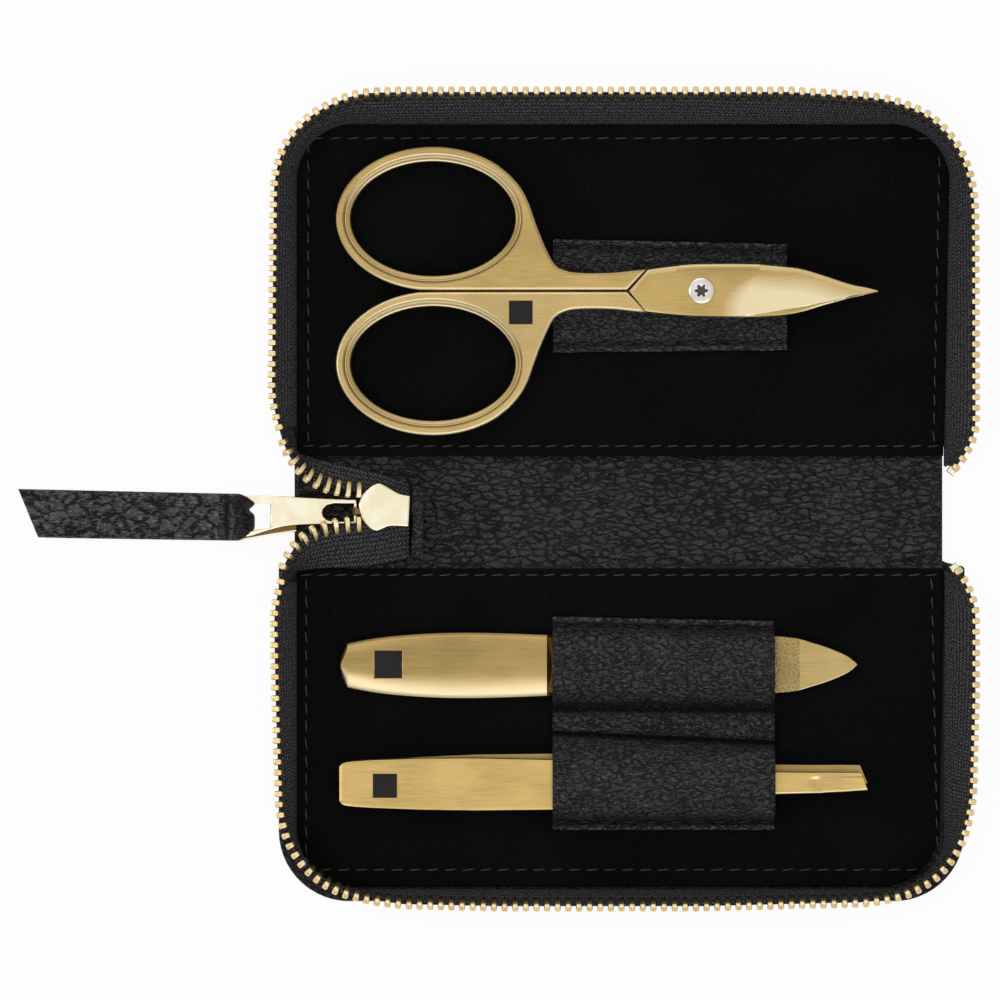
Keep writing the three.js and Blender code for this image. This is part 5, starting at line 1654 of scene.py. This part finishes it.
def blade(name, upper, lower, low, high, ground):
    """A blade's plate: a flat with a rounded rim, and a hollow ground face towards the tip."""
    stations = np.concatenate([np.linspace(-12.3, -9.1, 9), np.linspace(-8.9, 29.9, 130)])
    across = np.concatenate([[0, 0.015, 0.05, 0.1], np.linspace(0.15, 0.85, 22), [0.9, 0.94, 0.975, 0.99, 1]])
    rings = []
    smooth_upper = np.concatenate([upper[:1], smooth_path(upper[1:], 200)])
    smooth_lower = np.concatenate([lower[:1], smooth_path(lower[1:], 200)])
    for x in stations:
        top_y = float(np.interp(x, smooth_upper[:, 0], smooth_upper[:, 1]))
        low_y = float(np.interp(x, smooth_lower[:, 0], smooth_lower[:, 1]))
        face, under = [], []
        for t in across:
            y = low_y + (top_y - low_y) * t
            edge = min(t, 1 - t) * (top_y - low_y)
            z = high - float(rounded_drop(edge, 0.3))
            if ground:
                depth = ground_depth(x, y)
                z = min(z, high - GRIND_SLOPE * depth)
                z -= 0.3 * float(rounded_drop(top_y - y, BEVEL))
            if x > TIP_THINS:
                z = min(z, high - (x - TIP_THINS) * 0.05)
            face.append((x, y, max(z, low + 0.12)))
            under.append((x, y, low))
        rings.append(face + under[::-1])
    # The blade is painted in a slightly darker copy of the tool gold, as shade
    made = loft(name, rings, "Tool gold in light painted shade", sharp=32.0)

    def tone(x, y, _):
        # Painted light and shade: a highlight on the top bevel, a shaded band below it towards the screw, and the
        # ground face painted paler as if it faced the light
        inside = between(smooth_upper, x) - y
        if inside < BEVEL:
            return 0.35
        along = np.clip((x + 12) / 12, 0, 1) * np.clip((16 - x) / 8, 0, 1)
        return min(1.0, ground_depth(x, y) / 3.2) - 0.6 * math.exp((BEVEL - inside) / 1.3) * along

    return mark(made, "painted_light", tone) if ground else made


def scissors_half(name, side):
    """One half: the handle, the rim of its hole and its blade."""
    hole = ellipse(side, RING["rim"], full_turn(RING_STEPS))
    # The handle is painted in a slightly darker copy of the tool gold, as shade
    handle = plate(name + "_handle", [handle_outline(side), hole], -HANDLE_HALF, HANDLE_HALF, 0.5, "Tool gold in light painted shade", 4)

    def tone(x, y, z):
        # Painted light and shade: the flat top a little lighter on the lower half, a dark shaded line at the upper
        # half's bevel, shade on the bevel round the finger hole and a highlight on the outer bevel
        drop = HANDLE_HALF - z
        if drop < 0.01:
            return 0.0 if side > 0 else 0.12
        if side > 0 and drop < 0.06:
            return -1.0
        across, up = x - RING["x"], y - side * RING["y"]
        in_hole = math.hypot(across / (RING["hole_x"] + 1.5), up / (RING["hole_y"] + 1.5)) < 1
        return -0.8 if in_hole else 0.6

    mark(handle, "painted_light", tone)
    rim = ring_rim(side)
    if side > 0:
        part = blade(name + "_blade", BLADE_UPPER, BLADE_LOWER, 0.05, 1.47, True)
    else:
        part = blade(name + "_blade", [(x, y - 0.1) for x, y in BLADE_UPPER], REAR_LOWER, -1.45, -0.05, False)
    made = join(name, [handle, rim, part])
    made.data.transform(scissors_matrix())
    return made


INLAY_BORDER = 0.16


def inlay(name, size, place, turn=Matrix.Identity(4)):
    """A plain square of dark enamel in a thin gold frame."""
    half = size / 2
    plain = rounded_block(name, (-half, -half, -0.25), (half, half, 0.05), 0.07, "Enamel")
    squares = [[(-s, -s), (s, -s), (s, s), (-s, s)] for s in (half + INLAY_BORDER, half)]
    ring = plate(name + "_frame", squares, -0.2, 0.035, 0.05, "Tool gold", 2)
    for made in (plain, ring):
        made.data.transform(Matrix.Translation(Vector(place) * MM) @ turn)
    return plain, ring


# The screw's rings from its end to the bottom of its recess: radius, height, and how far the lobes shape it
SCREW_RINGS = (
    (0.02, -1.7, 0), (2.0, -1.7, 0), (2.2, -1.55, 0), (2.2, 1.9, 0), (2.12, 2.06, 0), (1.85, 2.16, 0), (1.3, 2.2, 0),
    (1.06, 2.17, 0.5), (0.98, 2.1, 1), (0.9, 1.6, 1), (0.4, 1.5, 0.5))


def screw():
    """The pivot screw with a six-lobed recess."""
    angles = full_turn(72)
    lobes = 0.92 + 0.2 * np.cos(6 * angles)
    rings = []
    for radius, z, lobed in SCREW_RINGS:
        scale = 1 + (lobes - 1) * lobed
        rings.append([(radius * s * math.cos(a), radius * s * math.sin(a), z) for a, s in zip(angles, scale)])
    made = loft("pivot_screw", rings, "Screw steel", sharp=35.0)
    # The recess is painted near black, as shade
    made.data.materials.append(material("Steel in painted shade"))
    for polygon in made.data.polygons:
        centre = polygon.center / MM
        if math.hypot(centre.x, centre.y) < 1.15 and 1.0 < centre.z < 2.12:
            polygon.material_index = 1
    made.data.transform(scissors_matrix())
    return made


def make_scissors():
    """Both halves, the screw and the small inlay."""
    attach(scissors_half("scissors_upper", 1), "scissors_front", ("scissors_front_half",))
    attach(scissors_half("scissors_lower", -1), "scissors_rear", ("scissors_rear_half",))
    attach(screw(), "scissors_rear", ("scissors_screw",))
    plain, ring = inlay("scissors_badge", 4.0, (-30.65, -3.65, HANDLE_HALF))
    for made in (plain, ring):
        made.data.transform(scissors_matrix())
    attach(plain, "scissors_rear", ("scissors_inlay",))
    attach(ring, "scissors_rear", ())


# Nail file

# The handle's half width along X
FILE_WIDTH = [
    (-27.1, 0.05), (-26.93, 1.34), (-26.76, 1.9), (-26.4, 2.7), (-26.1, 3.3), (-25.85, 3.7), (-25.4, 3.85),
    (-20.2, 4.73), (-13.2, 5.33), (-6.7, 5.54), (0.0, 5.45), (7.6, 5.18), (9.1, 5.1)]
HANDLE_AXIS = -28.2
CHAMFER_START = 8.05
FILE_TIP = [(46.7, 4.85), (50.4, 4.5), (53.1, 3.75), (55.8, 2.9), (58.6, 1.72), (59.9, 0.9), (60.9, 0.0)]
FILE_AXIS = photo(0, 664.5)[1]


def make_file():
    """The crowned handle and the flat spear-shaped blade."""
    low, high = box_of("file_handle")
    widths = smooth_path(FILE_WIDTH, 120)
    across = np.linspace(-1, 1, 33)
    rings = []
    ends = [x for x, _ in FILE_WIDTH[:6]]
    for x in np.concatenate([ends, np.linspace(-25.6, CHAMFER_START, 90), np.linspace(CHAMFER_START + 0.05, 9.1, 6)]):
        half = float(np.interp(x, widths[:, 0], widths[:, 1]))
        end_drop = 0.5 * float(rounded_drop(x - low[0], 0.5)) + 0.85 * max(0.0, x - CHAMFER_START)
        face, under = [], []
        for t in across:
            crown = high[2] - abs(t) ** 2 - end_drop
            edge = float(rounded_drop(half * (1 - abs(t)), 0.15))
            face.append((x, HANDLE_AXIS + half * t, max(crown - edge, low[2] + 0.45)))
            under.append((x, HANDLE_AXIS + half * t, low[2] + edge))
        rings.append(face + under[::-1])
    # The grip is painted in the darker copy of the tool gold, as shade
    attach(loft("file_grip", rings, "Tool gold in painted shade", sharp=24.0), "file", ("file_handle",))
    blade_low, blade_high = box_of("file_blade")
    upper = [(9.0, 4.85), *smooth_path(FILE_TIP, 40)]
    lower = [(x, -y) for x, y in upper[::-1][1:]]
    outline = [(x, FILE_AXIS + y) for x, y in upper + lower]
    attach(
        plate("file_leaf", [outline], blade_low[2], blade_high[2], 0.2, "File gold", 3), "file", ("file_blade",))
    plain, ring = inlay("file_badge", 4.7, (-18.9, -28.0, high[2] - 0.03))
    attach(plain, "file", ("file_inlay",))
    attach(ring, "file", ())


# Tweezers

# Along an arm, by its share of the length: its half width's share, and how far it has bowed away
ARM_SHARES = [
    (0.0, 0.68, 0.37), (0.004, 0.75, 0.37), (0.012, 0.805, 0.37), (0.03, 0.845, 0.37), (0.06, 0.885, 0.38),
    (0.15, 0.95, 0.6), (0.26, 0.97, 0.82), (0.4, 0.925, 1.0), (0.52, 0.8, 1.0), (0.66, 0.56, 1.0), (0.8, 0.42, 0.98),
    (0.9, 0.385, 0.97), (0.96, 0.36, 0.97), (1.0, 0.33, 0.97)]
ARM_SHIFT = [(0.15, 0.0), (0.4, -0.1), (0.8, 0.15), (0.9, 0.2), (1.0, 0.45)]
LOWER_SHIFT = [(0.13, 0.0), (0.26, 0.45), (0.4, 0.85), (0.8, 1.15)]
TWEEZERS = {"left": -27.2, "length": 89.1, "axis": -48.3, "half": 4.67, "bow": 1.6, "thick": 1.1, "middle": 5.3}
SCOOP_DEPTH = 0.22
TIP_SLANT = 1.25
ARM_LEAN = math.atan(0.0436)


def tweezers_arm(name, side):
    """One bowed arm with a slanted tip."""
    t = TWEEZERS
    xs, wides, aparts = (np.array(column) for column in zip(*ARM_SHARES))
    stations = np.concatenate([np.linspace(0, 0.03, 8), np.linspace(0.045, 1, 110)])
    across = np.concatenate([[-1, -0.97, -0.9, -0.8], np.linspace(-0.7, 0.7, 11), [0.8, 0.9, 0.97, 1]])
    rings = []
    for share in stations:
        wide = t["half"] * float(np.interp(share, xs, wides))
        apart = float(np.interp(share, xs, aparts))
        middle = side * t["bow"] * apart
        shift = between(ARM_SHIFT, share) + (between(LOWER_SHIFT, share) if side < 0 else 0.0)
        bevel = np.clip((share - 0.945) / 0.055, 0, 1)
        slant = np.clip((share - 0.8) / 0.2, 0, 1) * TIP_SLANT
        face, inner = [], []
        for a in across:
            x = t["left"] + share * t["length"] - slant * a / 2
            y = t["axis"] + a * wide + shift
            edge = float(rounded_drop(wide * (1 - abs(a)), 0.3))
            end = float(rounded_drop(share * t["length"], 0.5))
            scoop = SCOOP_DEPTH * float(np.clip((share - 0.897 - 0.012 * a * a) / 0.008, 0, 1))
            if side < 0 or a >= 0.55:
                scoop = 0
            outer_z = middle + side * (t["thick"] / 2 - edge - end * 0.5 - 0.4 * bevel * (0.6 - 0.4 * a) - scoop)
            face.append((x, y, t["middle"] + outer_z))
            inner.append((x, y, t["middle"] + middle - side * (t["thick"] / 2 - 0.03)))
        rings.append(face + inner[::-1])
    # The lower arm is painted in the darker copy of the tool gold, as shade under the upper arm
    return loft(name, rings, "Tool gold" if side > 0 else "Tool gold in painted shade", sharp=35.0)


def make_tweezers():
    """Both arms and the inlay on the upper one."""
    attach(tweezers_arm("tweezers_top", 1), "tweezers_upper", ("tweezers_upper_arm",))
    attach(tweezers_arm("tweezers_bottom", -1), "tweezers", ("tweezers_lower_arm",))
    low, high = box_of("tweezers_inlay")
    centre = (low + high) / 2
    lean = Matrix.Rotation(-ARM_LEAN, 4, "Y")
    plain, ring = inlay("tweezers_badge", 4.1, (centre[0], -48.6, centre[2] + 0.2), lean)
    attach(plain, "tweezers_upper", ("tweezers_inlay",))
    attach(ring, "tweezers_upper", ())


# The stage: floor, world, lamps and camera

CAMERA_LENS = 400.0
SENSOR = 36.0
PHOTO_WIDTH = 1000
# The height at which the photograph's scale holds
CAMERA_LEVEL = 4.0
FLOOR_GAP = 0.02
FLOOR_HALF = 6.0
FLOOR_WHITE_SHARE = 0.93
WHITE = (1.0, 1.0, 1.0, 1.0)


def stage_material():
    """A white floor that shows as white and still takes the object's shadow."""
    tree = new_material("Floor")
    plain = add_node(tree, "ShaderNodeBsdfDiffuse", None, {"Color": (0.97, 0.97, 0.97, 1.0)})
    glow = add_node(tree, "ShaderNodeEmission", None, {"Color": WHITE, "Strength": 1.0})
    rays = tree.nodes.new("ShaderNodeLightPath").outputs
    mirrored = math_node(tree, "MAXIMUM", rays["Is Glossy Ray"], rays["Is Transmission Ray"])
    seen = math_node(tree, "MAXIMUM", rays["Is Camera Ray"], mirrored)
    share = times(tree, seen, FLOOR_WHITE_SHARE)
    mixed = add_node(tree, "ShaderNodeMixShader", None, {0: share, 1: plain.outputs[0], 2: glow.outputs[0]})
    add_node(tree, "ShaderNodeOutputMaterial", None, {"Surface": mixed.outputs[0]})
    return material("Floor")


WORLD_LEVEL = 0.98
# The room's brightness from the horizon to straight overhead
WORLD_STOPS = [(0.0, 1.0), (0.08, 0.95), (0.25, 0.66), (0.6, 0.68), (0.86, 0.78), (0.965, 0.88), (0.99, 1.0)]


def make_world():
    """A plain room: white at the horizon, greyer overhead with a soft patch at the zenith."""
    world = bpy.data.worlds.new("Room")
    bpy.context.scene.world = world
    world.use_nodes = True
    tree = world.node_tree
    tree.nodes.clear()
    direction = tree.nodes.new("ShaderNodeTexCoord").outputs["Generated"]
    level = math_node(tree, "MAXIMUM", split_vector(tree, direction)["Z"], 0.0)
    stops = add_node(tree, "ShaderNodeValToRGB", None, {"Fac": level})
    elements = stops.color_ramp.elements
    elements[0].position, elements[1].position = WORLD_STOPS[0][0], WORLD_STOPS[-1][0]
    elements[0].color = opaque([WORLD_STOPS[0][1]] * 3)
    elements[1].color = opaque([WORLD_STOPS[-1][1]] * 3)
    for position, value in WORLD_STOPS[1:-1]:
        elements.new(position).color = opaque([value] * 3)
    room = scaled(tree, stops.outputs["Color"], WORLD_LEVEL)
    seen = tree.nodes.new("ShaderNodeLightPath").outputs["Is Camera Ray"]
    back = add_node(
        tree, "ShaderNodeBackground", None, {"Color": mix_colours(tree, seen, room, WHITE), "Strength": 1.0})
    add_node(tree, "ShaderNodeOutputWorld", None, {"Surface": back.outputs[0]})


# Each softbox's place, its width and height in metres, and its power in watts
LAMPS = {
    "front_softbox": {"place": (0.05, -0.62, 0.95), "size": (0.9, 0.42), "power": 1.5},
    "back_softbox": {"place": (-0.2, 0.75, 0.8), "size": (0.9, 0.25), "power": 1.1},
    "left_softbox": {"place": (-0.85, 0.05, 0.7), "size": (0.3, 0.8), "power": 1.3},
}


def make_stage():
    """Floor, world, softboxes and the camera."""
    floor_level = cad_bounds[0].z - FLOOR_GAP * MM
    mesh = bpy.data.meshes.new("floor")
    corners = [(-1, -1), (1, -1), (1, 1), (-1, 1)]
    mesh.from_pydata([(x * FLOOR_HALF, y * FLOOR_HALF, floor_level) for x, y in corners], [], [(0, 1, 2, 3)])
    mesh.materials.append(stage_material())
    show("floor", mesh)
    make_world()
    for name, lamp in LAMPS.items():
        light = bpy.data.lights.new(name, "AREA")
        light.shape = "RECTANGLE"
        light.size, light.size_y = lamp["size"]
        light.energy = lamp["power"]
        made = show(name, light)
        made.location = lamp["place"]
        made.rotation_euler = (-Vector(lamp["place"])).to_track_quat("-Z", "Y").to_euler()
    camera = bpy.data.cameras.new("camera")
    camera.type = "PERSP"
    camera.sensor_width = SENSOR
    camera.lens = CAMERA_LENS
    camera.clip_end = 20.0
    distance = PHOTO_SCALE * PHOTO_WIDTH * MM * CAMERA_LENS / SENSOR
    made = show("camera", camera)
    made.location = (0.5 * PHOTO_SCALE * MM, -0.5 * PHOTO_SCALE * MM, distance + CAMERA_LEVEL * MM)
    bpy.context.scene.camera = made
    bpy.context.scene.view_settings.view_transform = "Standard"


# Operators

class CASE_OT_finishes(bpy.types.Operator):
    """Make every material of the case"""

    bl_idname = "case.finishes"
    bl_label = "Finishes"

    def execute(self, context):
        make_finishes(context.scene.case_sizes, context.scene.case_colours)
        return {"FINISHED"}


class CASE_OT_outer_leather(bpy.types.Operator):
    """Make the outer leather of both halves and the spine"""

    bl_idname = "case.outer_leather"
    bl_label = "Outer leather"

    def execute(self, context):
        make_outer_leather()
        return {"FINISHED"}


class CASE_OT_linings(bpy.types.Operator):
    """Make the velour panels, their stitches and the boards' finish"""

    bl_idname = "case.linings"
    bl_label = "Linings"

    def execute(self, context):
        make_linings(context.scene.case_sizes)
        return {"FINISHED"}


class CASE_OT_spine_leather(bpy.types.Operator):
    """Make the wrinkled leather inside the spine"""

    bl_idname = "case.spine_leather"
    bl_label = "Spine leather"

    def execute(self, context):
        make_spine_leather(context.scene.case_sizes)
        return {"FINISHED"}


class CASE_OT_tapes(bpy.types.Operator):
    """Make the zip's woven tapes"""

    bl_idname = "case.tapes"
    bl_label = "Zip tapes"

    def execute(self, context):
        make_tape_walls()
        make_tape_ends()
        return {"FINISHED"}


class CASE_OT_teeth(bpy.types.Operator):
    """Make the zip's rows of teeth"""

    bl_idname = "case.teeth"
    bl_label = "Zip teeth"

    def execute(self, context):
        make_teeth(context.scene.case_sizes)
        return {"FINISHED"}


class CASE_OT_zip_ends(bpy.types.Operator):
    """Make the zip's stops and the leather end tab"""

    bl_idname = "case.zip_ends"
    bl_label = "Zip ends"

    def execute(self, context):
        make_zip_ends()
        return {"FINISHED"}


class CASE_OT_slider(bpy.types.Operator):
    """Make the slider and its bail"""

    bl_idname = "case.slider"
    bl_label = "Slider"

    def execute(self, context):
        make_slider()
        return {"FINISHED"}


class CASE_OT_pull(bpy.types.Operator):
    """Make the slider's pull"""

    bl_idname = "case.pull"
    bl_label = "Pull"

    def execute(self, context):
        make_pull()
        return {"FINISHED"}


class CASE_OT_strap(bpy.types.Operator):
    """Make the pull's leather strap"""

    bl_idname = "case.strap"
    bl_label = "Strap"

    def execute(self, context):
        make_strap()
        return {"FINISHED"}


class CASE_OT_loops(bpy.types.Operator):
    """Make the stitched bands that hold the tools"""

    bl_idname = "case.loops"
    bl_label = "Loops"

    def execute(self, context):
        make_scissors_loop(context.scene.case_sizes)
        make_tools_loop(context.scene.case_sizes)
        return {"FINISHED"}


class CASE_OT_scissors(bpy.types.Operator):
    """Make the nail scissors"""

    bl_idname = "case.scissors"
    bl_label = "Scissors"

    def execute(self, context):
        make_scissors()
        return {"FINISHED"}


class CASE_OT_file(bpy.types.Operator):
    """Make the nail file"""

    bl_idname = "case.file"
    bl_label = "Nail file"

    def execute(self, context):
        make_file()
        return {"FINISHED"}


class CASE_OT_tweezers(bpy.types.Operator):
    """Make the slanted tweezers"""

    bl_idname = "case.tweezers"
    bl_label = "Tweezers"

    def execute(self, context):
        make_tweezers()
        return {"FINISHED"}


class CASE_OT_stage(bpy.types.Operator):
    """Make the floor, the world, the lamps and the camera"""

    bl_idname = "case.stage"
    bl_label = "Stage"

    def execute(self, context):
        make_stage()
        return {"FINISHED"}


STEPS = (
    CASE_OT_stage, CASE_OT_finishes, CASE_OT_outer_leather, CASE_OT_linings, CASE_OT_spine_leather, CASE_OT_tapes,
    CASE_OT_teeth, CASE_OT_zip_ends, CASE_OT_slider, CASE_OT_pull, CASE_OT_strap, CASE_OT_loops, CASE_OT_scissors,
    CASE_OT_file, CASE_OT_tweezers)


class CASE_PT_panel(bpy.types.Panel):
    """The case's steps, sizes and colours in the sidebar"""

    bl_idname = "CASE_PT_panel"
    bl_label = "Manicure case"
    bl_space_type = "VIEW_3D"
    bl_region_type = "UI"
    bl_category = "Manicure case"

    def draw(self, context):
        column = self.layout.column()
        for group in (context.scene.case_sizes, context.scene.case_colours):
            for name in group.__annotations__:
                column.prop(group, name)
        for step in STEPS:
            column.operator(step.bl_idname)


CLASSES = (CaseSizes, CaseColours, *STEPS, CASE_PT_panel)


def register():
    """Registers the classes and the scene's settings."""
    for item in CLASSES:
        bpy.utils.register_class(item)
    bpy.types.Scene.case_sizes = bpy.props.PointerProperty(type=CaseSizes)
    bpy.types.Scene.case_colours = bpy.props.PointerProperty(type=CaseColours)


def unregister():
    """Removes what register added."""
    del bpy.types.Scene.case_colours
    del bpy.types.Scene.case_sizes
    for item in reversed(CLASSES):
        bpy.utils.unregister_class(item)


def main():
    """Builds the whole case."""
    register()
    for step in STEPS:
        area, action = step.bl_idname.split(".")
        getattr(getattr(bpy.ops, area), action)()
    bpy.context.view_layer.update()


if __name__ == "__main__":
    main()
